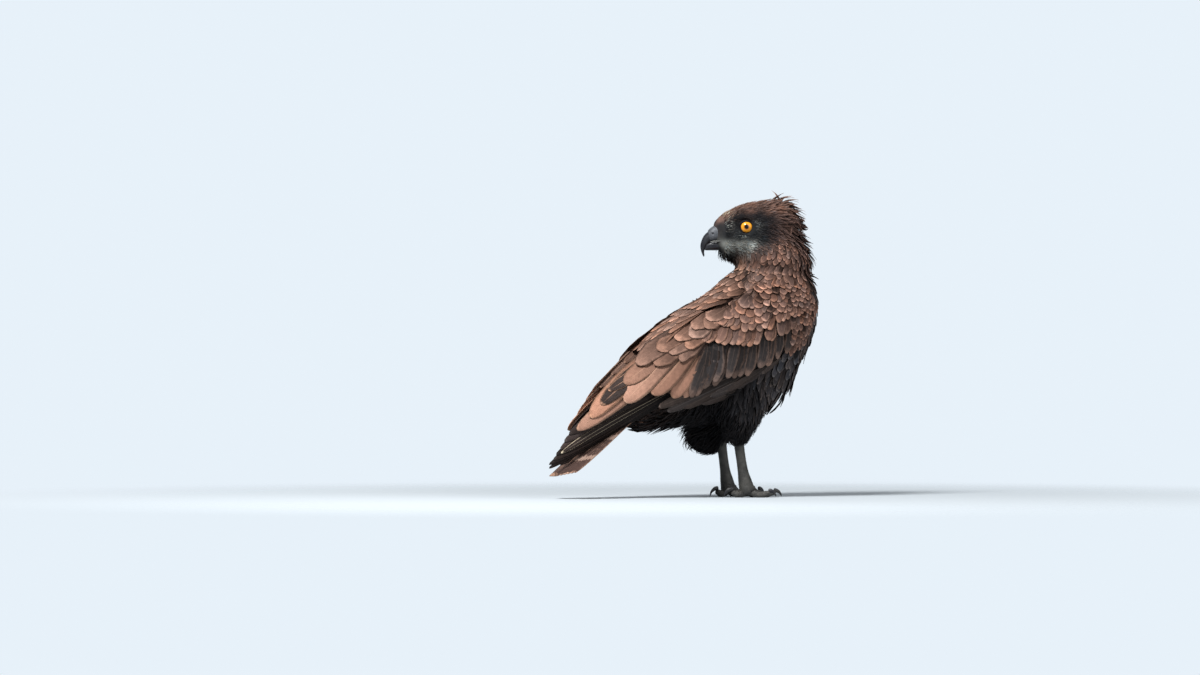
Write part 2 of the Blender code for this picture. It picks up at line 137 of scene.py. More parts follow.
class EagleStage(bpy.types.PropertyGroup):
    key: strength("Key light", "Strength of the main light", 128.0)
    fill: strength("Fill light", "Strength of the soft fill", 56.0)
    air: strength("Surroundings", "Strength of the light from all round", 0.26, "NONE")
    lens: strength("Lens", "Focal length of the camera", 200.0, "CAMERA", 20)
    azimuth: FloatProperty(
        name="Azimuth", description="Camera's turn round the bird", default=radians(-25), subtype="ANGLE"
    )


# Shader nodes as expressions ------------------------------------------


class Wire:
    """A socket of a material's node tree. Arithmetic on it adds Math nodes."""

    def __init__(self, paint, socket):
        self.paint, self.socket = paint, socket

    def _math(self, operation, *values):
        return self.paint.node("Math", {"operation": operation}, dict(enumerate(values)))

    def __add__(self, other):
        return self._math("ADD", self, other)

    def __sub__(self, other):
        return self._math("SUBTRACT", self, other)

    def __rsub__(self, other):
        return self._math("SUBTRACT", other, self)

    def __mul__(self, other):
        return self._math("MULTIPLY", self, other)

    def __abs__(self):
        return self._math("ABSOLUTE", self)

    def above(self, low, high):
        """0 below low, 1 above high, smooth between."""
        values = {"Value": self, "From Min": low, "From Max": high}
        return self.paint.node("MapRange", {"interpolation_type": "SMOOTHSTEP"}, values)

    def most(self, other):
        return self._math("MAXIMUM", self, other)

    def sine(self):
        return self._math("SINE", self)


class Paint:
    """A material, and the few kinds of node that its finish is made of."""

    def __init__(self, name, **constants):
        self.material = bpy.data.materials.new(name)
        self.material.use_nodes = True
        self.tree = self.material.node_tree
        self.surface = self.tree.nodes["Principled BSDF"]
        for name, value in constants.items():
            socket = name.replace("_", " ").title().replace("Ior", "IOR")
            self.surface.inputs[socket].default_value = value

    def node(self, kind, settings, values, output=0):
        made = self.tree.nodes.new(f"ShaderNode{kind}")
        for name, setting in settings.items():
            setattr(made, name, setting)
        for slot, value in values.items():
            self.plug(value, made.inputs[slot])
        return Wire(self, made.outputs[output])

    def plug(self, value, slot):
        if isinstance(value, Wire):
            self.tree.links.new(value.socket, slot)
        else:
            slot.default_value = value

    def attribute(self, name):
        return self.node("Attribute", {"attribute_name": name}, {}, "Color")

    def place(self):
        return self.node("TexCoord", {}, {}, "Object")

    def vane(self):
        """Across the feather from -1 to 1, and along it from 0 to 1."""
        split = self.node("SeparateXYZ", {}, {0: self.uv("vane")})
        along = Wire(self, split.socket.node.outputs[1])
        return split * 2 - 1, along

    def uv(self, name):
        return self.node("UVMap", {"uv_map": name}, {})

    def length(self, vector):
        return self.node("VectorMath", {"operation": "LENGTH"}, {0: vector}, 1)

    def noise(self, scale, detail, vector=None):
        values = {"Vector": vector or self.place(), "Scale": scale, "Detail": detail}
        return self.node("TexNoise", {}, values, "Fac")

    def mix(self, share, first, second, blend="MIX"):
        settings = {"data_type": "RGBA", "blend_type": blend}
        return self.node("Mix", settings, {0: share, 6: first, 7: second}, 2)

    def scaled(self, colour, factor):
        """A colour times a number."""
        grey = self.node("CombineColor", {}, {0: factor, 1: factor, 2: factor})
        return self.mix(1.0, colour, grey, "MULTIPLY")

    def finish(self, colour, height=None, depth=0.0, distance=0.0):
        """The material with its colour and, where it has one, its relief plugged in."""
        self.plug(colour, self.surface.inputs["Base Color"])
        if height:
            values = {"Height": height, "Strength": depth, "Distance": distance}
            self.plug(self.node("Bump", {}, values), self.surface.inputs["Normal"])
        return self.material


def rgba(colour, factor=1):
    return (*(min(1.0, part * factor) for part in colour), 1.0)


# Forms ----------------------------------------------------------------


def unit(rows):
    return rows / np.maximum(np.linalg.norm(rows, axis=-1, keepdims=True), 1e-9)


def between(table, share):
    """Smooth (Catmull-Rom) rows at shares from 0 to 1 of the way through a table."""
    table = np.asarray(table, float)
    steps = len(table) - 1
    place = np.clip(share, 0, 1) * steps
    i = np.minimum(place.astype(int), steps - 1)
    f = (place - i)[..., None]
    a, b, c, d = (table[np.clip(i + k, 0, steps)] for k in (-1, 0, 1, 2))
    return b + 0.5 * f * ((c - a) + f * ((2 * a - 5 * b + 4 * c - d) + f * (3 * b - a - 3 * c + d)))


def smooth_step(value, low, high):
    share = np.clip((value - low) / (high - low), 0, 1)
    return share * share * (3 - 2 * share)


def rounding(share, first, last):
    """A factor that rounds a form's two ends like an ellipse, over its first and last shares."""
    near, far = np.clip(share / first, 0, 1), np.clip((1 - share) / last, 0, 1)
    return np.sqrt(np.maximum(0, 1 - (1 - near) ** 2) * np.maximum(0, 1 - (1 - far) ** 2))


def as_mesh(name, shape):
    """A mesh from a bmesh, which is freed."""
    mesh = bpy.data.meshes.new(name)
    shape.to_mesh(mesh)
    shape.free()
    return mesh


def steady(faces):
    """Faces, as lists of corners, in a fixed order, because the operators give them in any order."""
    turned = []
    for corners in faces:
        first = corners.index(min(corners))
        turned.append(corners[first:] + corners[:first])
    return sorted(turned)


def steady_mesh(name, mesh):
    """A copy of a mesh with its faces in a fixed order."""
    copy = bpy.data.meshes.new(name)
    faces = steady(list(polygon.vertices) for polygon in mesh.polygons)
    copy.from_pydata([vertex.co for vertex in mesh.vertices], [], faces)
    return copy


def ball_parts(around, along):
    """A ball's points as (share along it, side, up), and its faces, all pointing outwards."""
    ball = bmesh.new()
    bmesh.ops.create_uvsphere(ball, u_segments=around, v_segments=along, radius=1)
    rows = []
    for vertex in ball.verts:
        x, y, z = vertex.co
        radius = hypot(x, y)
        share = round(acos(min(max(-z, -1.0), 1.0)) / pi * along) / along
        rows.append((share, x / radius, y / radius) if radius > 1e-6 else (share, 0, 0))
    ball.verts.index_update()
    faces = steady([vertex.index for vertex in face.verts] for face in ball.faces)
    ball.free()
    return np.array(rows), faces


def add_object(name, mesh, material, slot, *nodes):
    """A finished piece: it rides on the body and stands for CAD nodes, which it hides. The slot is not
    used.
    """
    thing = bpy.data.objects.new(name, mesh)
    bpy.context.scene.collection.objects.link(thing)
    mesh.shade_smooth()
    if material:
        mesh.materials.clear()
        mesh.materials.append(material)
    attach(thing, "root")
    if nodes:
        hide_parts(*nodes)
    return thing


def closed_mesh(name, place, around, along):
    """A ball reshaped by place(share, side, up), which takes and gives arrays."""
    rows, faces = ball_parts(around, along)
    points = place(rows[:, 0], rows[:, 1], rows[:, 2])
    mesh = bpy.data.meshes.new(name)
    mesh.from_pydata(points, [], faces)
    shape = bmesh.new()
    shape.from_mesh(mesh)
    if shape.calc_volume(signed=True) < 0:
        bmesh.ops.reverse_faces(shape, faces=shape.faces)
    shape.to_mesh(mesh)
    shape.free()
    return mesh


def moved(points, matrix):
    return points @ np.array(matrix.to_3x3()).T + np.array(matrix.translation)


def superellipse(side, up, power):
    reach = (np.abs(side) ** power + np.abs(up) ** power + 1e-12) ** (-1 / power)
    return side * reach, up * reach


def profile_mesh(name, stations, around, along, ends, power, alter=lambda points: points):
    """A form of the head between an upper and a lower profile, rows of (fore, height, fore, height,
    half width)."""

    def place(share, side, up):
        fore_1, high_1, fore_2, high_2, width = (between(stations, share) * MM).T
        end = rounding(share, *ends)
        side, up = superellipse(side, up, power)
        fore = (fore_1 + fore_2) / 2 + end * up * (fore_1 - fore_2) / 2
        high = (high_1 + high_2) / 2 + end * up * (high_1 - high_2) / 2
        return moved(alter(np.stack([fore, end * side * width, high], 1)), HEAD)

    return closed_mesh(name, place, around, along)


def tube_mesh(name, stations, matrix, around, along, ends, flat=(1, 0, 0), relief=None):
    """A form round a bent line, rows of (x, y, z, radius along flat, radius across it).
    relief(share, side, up) is a factor on its radius."""

    def place(share, side, up):
        rows = between(stations, share) * MM
        ahead = unit(between(stations, share + 0.02)[:, :3] - between(stations, share - 0.02)[:, :3])
        across = unit(np.cross(ahead, np.array(flat, float)))
        level = np.cross(across, ahead)
        size = rounding(share, *ends) * (relief(share, side, up) if relief else 1)
        sideways, upwards = size * side * rows[:, 3], size * up * rows[:, 4]
        return moved(rows[:, :3] + (sideways[:, None] * level + upwards[:, None] * across), matrix)

    return closed_mesh(name, place, around, along)


def merged(name, meshes):
    """One mesh from several."""
    whole = bmesh.new()
    for mesh in meshes:
        whole.from_mesh(mesh)
    return as_mesh(name, whole)


def solid(*nodes):
    """CAD nodes' surfaces, with the corners that their faces share made one."""
    shape = bmesh.new()
    for node in nodes:
        shape.from_mesh(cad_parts[node].data)
    bmesh.ops.remove_doubles(shape, verts=shape.verts, dist=WELD)
    return shape


def tree_of(*nodes):
    """A search tree of CAD nodes' surfaces."""
    shape = solid(*nodes)
    found = BVHTree.FromBMesh(shape)
    shape.free()
    return found


# Skin -----------------------------------------------------------------

EYE = Vector((17, 23.5, 424)) * MM  # the left eye's middle in the head's own axes
EYE_RADIUS = 11 * MM
LID_RADIUS, LID_THICKNESS = 10.5 * MM, 1.45 * MM
LID_CORNERS = 1.5 * MM  # how far the lid is drawn out in front of the eye and behind it
LID_HOOD = (1.0, -0.8)  # how far its upper half's outer and inner parts are moved outwards, in millimetres
LID_OVERHANG, LID_INNER_OVERHANG = 1.4 * MM, 0.6  # of the upper half, and the inner part's share of it
LID_INNER = LID_RADIUS - 0.9 * MM
SIDE_OF_HEAD = 12 * MM  # what is further out than this is on the side of the head
BROW_FORE, BROW_HEIGHT = np.array([-8, 6, 32, 46]) * MM, np.array([436, 440, 440, 434]) * MM
BROW_DEPTH, BROW_BREADTH = 3.8 * MM, 3.4 * MM
FLESH_GROWTH = 0.6  # millimetres, so that neighbouring nodes run into one another
FACE_FORE, FACE_HEIGHT = (-20 * MM, 15 * MM), (372 * MM, 382 * MM)  # where the coat thins to the face's


def lid_mesh(side):
    """A ring of bare skin round the eye, drawn out to a corner at both ends and heavier above."""
    ring = bmesh.new()
    start = Matrix.Translation((LID_RADIUS, 0, 0))
    profile = bmesh.ops.create_circle(ring, segments=10, radius=LID_THICKNESS, matrix=start)["verts"]
    bmesh.ops.spin(
        ring, geom=profile + ring.edges[:], cent=(0, 0, 0), axis=(0, 1, 0), angle=2 * pi, steps=48,
        use_merge=True,
    )
    for vertex in ring.verts:
        fore, out, height = vertex.co
        angle = atan2(height, fore)
        above, radius = max(0, sin(angle)), hypot(fore, height)
        radius += LID_CORNERS * cos(angle) ** 8 + above * MM * LID_HOOD[0 if radius > LID_RADIUS else 1]
        out += LID_OVERHANG * above * (1 if radius > LID_INNER else LID_INNER_OVERHANG)
        depth = sqrt(max(0, EYE_RADIUS**2 - min(radius, EYE_RADIUS) ** 2))
        spot = (EYE.x + radius * cos(angle), side * (EYE.y + out + depth), EYE.z + radius * sin(angle))
        vertex.co = HEAD @ Vector(spot)
    bmesh.ops.recalc_face_normals(ring, faces=ring.faces)
    return steady_mesh("lid", as_mesh("lid", ring))


def grown(node):
    """A flesh node's surface, moved outwards a little."""
    shape = solid(node)
    shape.normal_update()
    for vertex, normal in [(vertex, vertex.normal.copy()) for vertex in shape.verts]:
        vertex.co += normal * FLESH_GROWTH * MM
    return as_mesh(node, shape)


def make_skin(sizes):
    """The flesh nodes grown into one another, meshed afresh as one surface and drawn in by the
    coat's depth."""
    thing = bpy.data.objects.new("skin", merged("skin", [grown(node) for node in FLESH]))
    bpy.context.scene.collection.objects.link(thing)
    remesh = thing.modifiers.new("one surface", "REMESH")
    remesh.mode = "VOXEL"
    remesh.voxel_size = sizes.skin_grain
    soften = thing.modifiers.new("soften", "SMOOTH")
    soften.factor, soften.iterations = 0.5, 8
    found = thing.evaluated_get(bpy.context.evaluated_depsgraph_get())
    fresh = bpy.data.meshes.new_from_object(found)
    bpy.data.objects.remove(thing)
    skin = steady_mesh("skin", fresh)
    face = HEAD.inverted()
    normals = [vertex.normal.copy() for vertex in skin.vertices]
    for vertex, normal in zip(skin.vertices, normals):
        fore, out, height = face @ vertex.co
        on_face = smooth_step(fore, *FACE_FORE) * smooth_step(height, *FACE_HEIGHT)
        vertex.co -= normal * (sizes.coat + (sizes.face_coat - sizes.coat) * float(on_face))
        ridge = brow(fore, height) * (abs(out) > SIDE_OF_HEAD)
        vertex.co += HEAD.to_3x3() @ Vector((0, ridge * (1 if out > 0 else -1), 0))
    return skin


def brow(fore, height):
    """How far the brow stands out over the eye, at a place on the side of the head."""
    line = np.interp(fore, BROW_FORE, BROW_HEIGHT)
    ends = smooth_step(fore, *BROW_FORE[:2]) * (1 - smooth_step(fore, *BROW_FORE[2:]))
    return BROW_DEPTH * float(ends) * float(np.exp(-((height - line) / BROW_BREADTH) ** 2))


# Feathers -------------------------------------------------------------

PATCH = 0.003  # a small feather's share of the bake's map
STRIP_WIDTH, STRIP_LENGTH = 0.9, 0.96  # a long feather's, of its part of the map's width and of its length
OUTLINES = {  # places along the feather, from root to tip, and its half width there per the widest
    "round": ((0, 0.15, 0.35, 0.6, 0.78, 0.9, 0.97, 1), (0.4, 0.72, 0.95, 1, 0.92, 0.68, 0.38, 0)),
    "lance": ((0, 0.15, 0.35, 0.55, 0.75, 0.88, 0.96, 1), (0.4, 0.75, 1, 0.92, 0.62, 0.34, 0.14, 0)),
    "wisp": ((0, 0.2, 0.5, 0.75, 1), (0.7, 1, 0.8, 0.5, 0)),
    "bristle": ((0, 0.3, 0.7, 1), (0.8, 1, 0.55, 0)),
    "quill": (
        (0, 0.08, 0.18, 0.3, 0.42, 0.54, 0.66, 0.76, 0.85, 0.92, 0.965, 0.99, 1),
        (0.3, 0.55, 0.8, 0.95, 1, 1, 1, 0.97, 0.88, 0.7, 0.48, 0.25, 0),
    ),
}
ROUND_BY = {"round": 8, "lance": 6, "wisp": 4, "bristle": 4, "quill": 8}
RAGGED = {"round": 0.16, "lance": 0.16, "wisp": 0.3, "bristle": 0.1, "quill": 0.03}
THICKNESS = {"round": 0.14, "lance": 0.16, "wisp": 0.25, "bristle": 0.3, "quill": 0.4}  # half, in mm
CROWN = {"round": 0.035, "lance": 0.09, "wisp": 0.2, "bristle": 0.3, "quill": 0.05}  # height per width
VERSIONS = 5  # ragged edges to choose from


class Vane:
    """One thin closed feather form: rings of points from root to tip, in a few ragged versions."""

    def __init__(self, outline, dice):
        self.outline = outline
        places, broad = np.array(OUTLINES[outline])
        rows, faces = ball_parts(ROUND_BY[outline], len(places) - 1)
        ring = np.rint(rows[:, 0] * (len(places) - 1)).astype(int)
        self.share, self.across, self.top = places[ring], rows[:, 1], rows[:, 2]
        self.widths = []
        for _ in range(VERSIONS):
            torn = 1 - RAGGED[outline] * dice.random((len(places), 2)) ** 2 * 2
            edge = np.where(self.across > 0, torn[ring, 0], torn[ring, 1])
            self.widths.append(self.across * broad[ring] * edge)
        self.loops = np.array([i for face in faces for i in face])
        self.sizes = np.array([len(face) for face in faces])
        self.map = np.stack([self.across * 0.5 + 0.5, self.share], 1)


class Coat:
    """Feathers gathered into one joined mesh."""

    def __init__(self, name):
        self.name, self.batches = name, []

    def add(self, vane, points, roots, middle, rim, patch=(PATCH, PATCH)):
        """points is feathers x points x 3, roots the feathers' places on the bake's map."""
        if len(points):
            self.batches.append((vane, points, roots, middle, rim, np.array(patch)))

    def add_strips(self, vane, points, of_all, middle, rim):
        """Adds long feathers, each with the next strip on the bake's map, of so many in all."""
        used, count = sum(len(batch[1]) for batch in self.batches), len(points)
        roots = np.stack([(used + np.arange(count) + 0.5) / of_all, np.full(count, 0.5)], 1)
        self.add(vane, points, roots, middle, rim, patch=(STRIP_WIDTH / of_all, STRIP_LENGTH))

    def mesh(self):
        batches, start = [], 0
        for vane, spots, roots, middle, rim, patch in self.batches:
            count, each = spots.shape[:2]
            offsets = start + np.arange(count)[:, None] * each
            local = vane.map[vane.loops]
            on_bake = (roots[:, None, :] + (local - 0.5)[None] * patch).reshape(-1, 2)
            batches.append((
                spots.reshape(-1, 3), (vane.loops[None, :] + offsets).ravel(), np.tile(vane.sizes, count),
                np.tile(local, (count, 1)), on_bake, np.repeat(middle, each, 0), np.repeat(rim, each, 0),
            ))
            start += count * each
        points, loops, sizes, vane_map, bake_map, middles, rims = map(np.concatenate, zip(*batches))
        mesh = bpy.data.meshes.new(self.name)
        mesh.vertices.add(len(points))
        mesh.vertices.foreach_set("co", points.astype(np.float32).ravel())
        mesh.loops.add(len(loops))
        mesh.loops.foreach_set("vertex_index", loops.astype(np.int32))
        mesh.polygons.add(len(sizes))
        mesh.polygons.foreach_set("loop_start", (np.cumsum(sizes) - sizes).astype(np.int32))
        mesh.update(calc_edges=True)
        for key, rows in (("vane", vane_map), ("OFBake", bake_map)):
            layer = mesh.uv_layers.new(name=key)
            layer.uv.foreach_set("vector", rows.astype(np.float32).ravel())
        colour_points(mesh, "middle", middles)
        colour_points(mesh, "rim", rims)
        return mesh


def colour_points(mesh, key, rows):
    """Gives each point of a mesh its colour."""
    layer = mesh.attributes.new(key, "FLOAT_COLOR", "POINT")
    rows = np.concatenate([rows, np.ones((len(rows), 1))], 1)
    layer.data.foreach_set("color", rows.astype(np.float32).ravel())


# The coat's guides. Each row: a place, the way that a feather rooted there points, its length, half
# width, lift in degrees and spacing, its outline, and the colours of its middle and its rim.
HEAD_GUIDES = [  # fore, side, height in the head's own axes
    ((66, 0, 434), (-0.2, 0, 0.9), 6, 0.52, 14, 1.93, "bristle", "lores", "streak"),
    ((60, 7, 436), (-0.4, 0.1, 0.8), 7, 0.69, 12, 1.76, "bristle", "cap_rim", "streak"),
    ((50, 12, 442), (-0.95, 0, 0.3), 8, 0.77, 7, 1.76, "bristle", "cap_rim", "streak"),
    ((40, 10, 452), (-1, 0, 0.2), 10, 1.38, 8, 2.27, "lance", "cap", "cap_rim"),
    ((40, 21, 442), (-1, 0.1, 0.15), 8, 0.86, 6, 1.76, "bristle", "lores", "cap_rim"),
    ((18, 14, 461), (-1, 0, 0.1), 12, 2.1, 7, 3.2, "lance", "cap", "cap_rim"),
    ((16, 27, 449), (-1, 0, 0.05), 10, 1.46, 7, 2.27, "lance", "cap", "cap_rim"),
    ((-10, 14, 465), (-1, 0, 0.15), 16, 2.6, 10, 3.8, "lance", "cap", "cap_rim"),
    ((-14, 30, 450), (-1, 0, 0.1), 15, 2.4, 9, 3.6, "lance", "cap", "cap_rim"),
    ((-32, 6, 466), (-0.9, 0, 0.6), 22, 3.2, 37, 4.9, "lance", "cap", "cap_rim"),
    ((-46, 12, 460), (-1, 0, 0.45), 20, 3.2, 37, 4.9, "lance", "cap", "cap_rim"),
    ((-34, 26, 452), (-1, 0, 0.2), 17, 2.7, 16, 4.2, "lance", "cap", "cap_rim"),
    ((-42, 30, 438), (-1, 0, -0.1), 16, 2.7, 15, 4.2, "lance", "nape", "cap_rim"),
    ((-60, 10, 440), (-0.95, 0, -0.25), 19, 3.2, 35, 4.9, "lance", "nape", "cap_rim"),
    ((-62, 16, 416), (-0.7, 0, -0.7), 17, 2.8, 28, 4.4, "lance", "nape", "nape"),
    ((58, 12, 425), (0.8, 0.4, 0.3), 7, 0.60, 16, 1.60, "bristle", "lores", "jaw"),
    ((48, 18, 426), (-0.9, 0.3, 0.2), 6, 0.69, 6, 1.51, "bristle", "lores", "jaw"),
    ((48, 19, 412), (-1, 0.3, 0.05), 6, 0.69, 8, 1.51, "bristle", "lores", "lores"),
    ((36, 26, 428), (-1, 0.3, 0.1), 5, 0.69, 5, 1.43, "bristle", "brow", "brow"),
    ((34, 25, 414), (-1, 0.2, -0.15), 6, 0.77, 5, 1.51, "bristle", "lores", "lores"),
    ((26, 29, 442), (-1, 0.1, 0.0), 6, 0.86, 4, 1.51, "bristle", "brow", "brow"),
    ((6, 31, 441), (-1, 0, -0.1), 8, 1.03, 5, 1.76, "lance", "brow", "brow"),
    ((36, 24, 438), (-1, 0.1, 0.05), 6, 0.77, 5, 1.51, "bristle", "brow", "brow"),
    ((16, 30, 444), (-1, 0.1, 0.0), 7, 0.95, 5, 1.68, "lance", "brow", "brow"),
    ((-2, 33, 444), (-1, 0, -0.05), 8, 1.12, 5, 1.85, "lance", "brow", "brow"),
    ((-14, 35, 440), (-1, 0, -0.1), 9, 1.29, 6, 2.10, "lance", "brow", "cheek"),
    ((46, 20, 410), (-1, 0.3, -0.05), 6, 0.69, 6, 1.51, "bristle", "brow", "lores"),
    ((27, 28, 412), (-1, 0.2, -0.15), 6, 0.77, 5, 1.51, "bristle", "cheek", "jaw"),
    ((20, 20, 386), (-0.85, 0, -0.5), 10, 1.12, 7, 2.18, "lance", "throat", "throat"),
    ((40, 13, 387), (-0.7, 0, -0.7), 9, 0.86, 14, 2.02, "bristle", "throat", "throat"),
    ((-6, 34, 434), (-1, 0, -0.15), 9, 1.20, 6, 2.02, "lance", "brow", "cheek"),
    ((5, 32, 427), (-1, 0, -0.15), 6, 0.95, 5, 1.7, "lance", "cheek", "jaw"),
    ((-6, 34, 420), (-1, 0, -0.15), 9, 1.3, 6, 2.2, "lance", "brow", "cheek"),
    ((8, 32, 413), (-1, 0, -0.15), 7, 1.0, 5, 1.8, "lance", "cheek", "cheek"),
    ((14, 31, 409), (-1, 0, -0.2), 7, 0.95, 5, 1.68, "lance", "cheek", "cheek"),
    ((30, 26, 407), (-1, 0.1, -0.1), 6, 0.77, 5, 1.60, "bristle", "cheek", "cheek"),
    ((-4, 35, 406), (-1, 0, -0.3), 10, 1.38, 6, 2.27, "lance", "cheek", "lores"),
    ((-16, 37, 424), (-1, 0, -0.15), 12, 2.0, 7, 3.2, "lance", "brow", "cap"),
    ((-20, 36, 408), (-0.9, 0, -0.45), 13, 2.2, 8, 3.4, "lance", "brow", "cap"),
    ((-40, 33, 412), (-0.7, 0, -0.7), 16, 3.2, 11, 4.4, "lance", "nape", "cap_rim"),
    ((0, 33, 388), (-0.8, 0, -0.6), 12, 2.2, 6, 3.2, "lance", "cheek", "cap_rim"),
    ((-30, 35, 404), (-0.75, 0, -0.65), 15, 3.0, 8, 4.0, "lance", "nape", "cap_rim"),
    ((46, 15, 398), (-0.9, 0.1, -0.4), 7, 0.77, 8, 1.60, "bristle", "jaw", "jaw"),
    ((28, 22, 398), (-0.9, 0.1, -0.35), 7, 0.86, 7, 1.68, "bristle", "jaw", "jaw"),
    ((12, 28, 397), (-0.9, 0, -0.35), 9, 1.12, 7, 2.02, "lance", "jaw", "cheek"),
    ((60, 5, 387), (0.15, 0, -1), 12, 0.69, 34, 2.02, "bristle", "throat", "cheek"),
    ((46, 9, 381), (-0.3, 0, -0.95), 12, 0.86, 24, 2.10, "bristle", "throat", "cheek"),
    ((30, 16, 385), (-0.85, 0, -0.5), 10, 1.03, 7, 2.10, "lance", "throat", "cheek"),
    ((26, 12, 374), (-0.8, 0, -0.6), 13, 1.5, 16, 3.0, "lance", "throat", "throat"),
    ((10, 18, 374), (-0.9, 0, -0.4), 13, 2.0, 10, 3.3, "lance", "throat", "throat"),
    ((-8, 24, 378), (-0.8, 0, -0.6), 14, 2.4, 7, 3.8, "lance", "throat", "cheek"),
]
NECK_GUIDES = [  # these turn with the neck, so the two sides differ
    ((58, -44, 402), (-0.40, 0, -0.90), 19, 4.5, 5, 5.2, "round", "neck", "neck_rim"),
    ((36, -46, 388), (-0.60, 0, -0.75), 22, 5.4, 4, 6.2, "round", "neck", "neck_rim"),
    ((10, -30, 378), (-0.80, 0.05, -0.55), 23, 5.9, 4, 6.6, "round", "neck", "neck_rim"),
    ((60, -58, 368), (-0.45, -0.1, -0.88), 26, 6.6, 4, 7.4, "round", "neck", "neck_rim"),
    ((95, -38, 392), (-0.15, -0.1, -1), 19, 4.0, 12, 5.6, "lance", "nape", "cap_rim"),
    ((112, -14, 392), (0.15, 0, -1), 19, 3.6, 24, 5.4, "lance", "nape", "nape"),
    ((114, 20, 385), (0.1, 0, -1), 20, 3.8, 22, 5.6, "lance", "nape", "nape"),
    ((122, -8, 366), (0.15, 0, -1), 24, 4.2, 20, 6.2, "lance", "nape", "nape"),
    ((85, 45, 385), (0, 0.1, -1), 26, 5.9, 6, 7.0, "round", "neck", "neck_rim"),
    ((45, 50, 385), (-0.5, 0.05, -0.85), 24, 6.1, 5, 7.0, "round", "neck", "neck_rim"),
    ((10, 30, 380), (-0.8, 0, -0.6), 23, 6.1, 4, 6.8, "round", "tertial", "flight_rim"),
    ((0, 0, 372), (-0.85, 0, -0.5), 23, 6.1, 3, 6.8, "round", "tertial", "flight_rim"),
    ((30, -56, 360), (-0.68, -0.05, -0.72), 28, 7.7, 3, 8.4, "round", "neck", "neck_rim"),
]
BODY_GUIDES = [  # the same on both sides
    ((-10, 18, 350), (-0.80, 0.05, -0.60), 30, 8.0, 2, 9.5, "round", "mantle", "mantle_rim"),
    ((-45, 22, 318), (-0.76, 0.05, -0.64), 40, 10.0, 1.5, 12.0, "round", "mantle", "mantle_rim"),
    ((-95, 20, 266), (-0.74, 0, -0.67), 52, 12.0, 1, 14.0, "round", "mantle", "mantle_rim"),
    ((-150, 12, 205), (-0.76, 0, -0.65), 46, 11.0, 2, 13.0, "round", "mantle", "mantle_rim"),
    ((-190, 10, 160), (-0.78, 0, -0.62), 38, 10.0, 3, 12.0, "round", "flight", "mantle_rim"),
    ((-45, 45, 322), (-0.76, 0, -0.64), 38, 10.0, 1.5, 12.5, "round", "mantle", "mantle_rim"),
    ((-95, 42, 270), (-0.76, 0, -0.64), 46, 12.0, 1.5, 14.5, "round", "mantle", "mantle_rim"),
    ((85, 50, 345), (-0.25, 0.2, -0.95), 25, 6.8, 4, 8.6, "round", "mantle", "neck_rim"),
    ((106, 62, 318), (-0.35, 0.1, -0.95), 22, 6.4, 4, 8.0, "round", "mantle", "mantle_rim"),
    ((112, 60, 275), (-0.35, 0, -0.95), 26, 7.6, 4, 9.2, "round", "mantle", "breast_rim"),
    ((125, 22, 325), (-0.10, 0, -1), 28, 8.4, 6, 10.4, "round", "breast", "breast_rim"),
    ((136, 15, 290), (-0.20, 0, -1), 30, 9.4, 5, 11.4, "round", "breast", "breast_rim"),
    ((112, 48, 285), (-0.35, 0.1, -0.93), 30, 9.0, 5, 11.0, "round", "breast", "breast_rim"),
    ((118, 15, 230), (-0.45, 0, -0.88), 34, 9.4, 8, 11.4, "round", "breast", "breast_rim"),
    ((80, 48, 225), (-0.50, 0, -0.85), 34, 9.4, 6, 11.4, "round", "breast", "breast_rim"),
    ((85, 15, 172), (-0.60, 0, -0.80), 36, 7.0, 16, 9.0, "lance", "breast", "breast_rim"),
    ((78, 16, 172), (-0.25, 0, -1), 45, 8.5, 18, 10.0, "round", "breast", "breast_rim"),
    ((50, 45, 175), (-0.40, 0, -0.90), 34, 8.0, 9, 9.6, "round", "breast", "breast_rim"),
    ((30, 15, 132), (-0.85, 0, -0.55), 30, 2.1, 14, 3.5, "wisp", "trousers", "trousers"),
    ((-30, 25, 125), (-0.90, 0, -0.45), 32, 2.1, 14, 3.7, "wisp", "trousers", "trousers"),
    ((-90, 15, 117), (-0.95, 0, -0.30), 36, 3.2, 14, 5.0, "wisp", "trousers", "trousers"),
    ((-150, 12, 112), (-0.95, 0, -0.25), 38, 4.0, 10, 5.8, "wisp", "trousers", "tail"),
    ((-60, 55, 200), (-0.80, 0, -0.60), 30, 8.0, 4, 11.0, "round", "breast", "breast_rim"),
    ((0, 62, 260), (-0.70, 0, -0.70), 30, 9.0, 4, 12.0, "round", "breast", "breast_rim"),
]
THIGH_TOP_GUIDES = [
    ((-10, 62, 170), (-0.15, 0, -1), 30, 4.2, 8, 5.4, "lance", "trousers", "breast"),
    ((-60, 45, 165), (-0.45, 0, -0.9), 30, 2.1, 16, 3.7, "wisp", "trousers", "trousers"),
    ((-15, 10, 160), (-0.2, 0, -1), 26, 2.1, 9, 3.8, "wisp", "trousers", "trousers"),
]
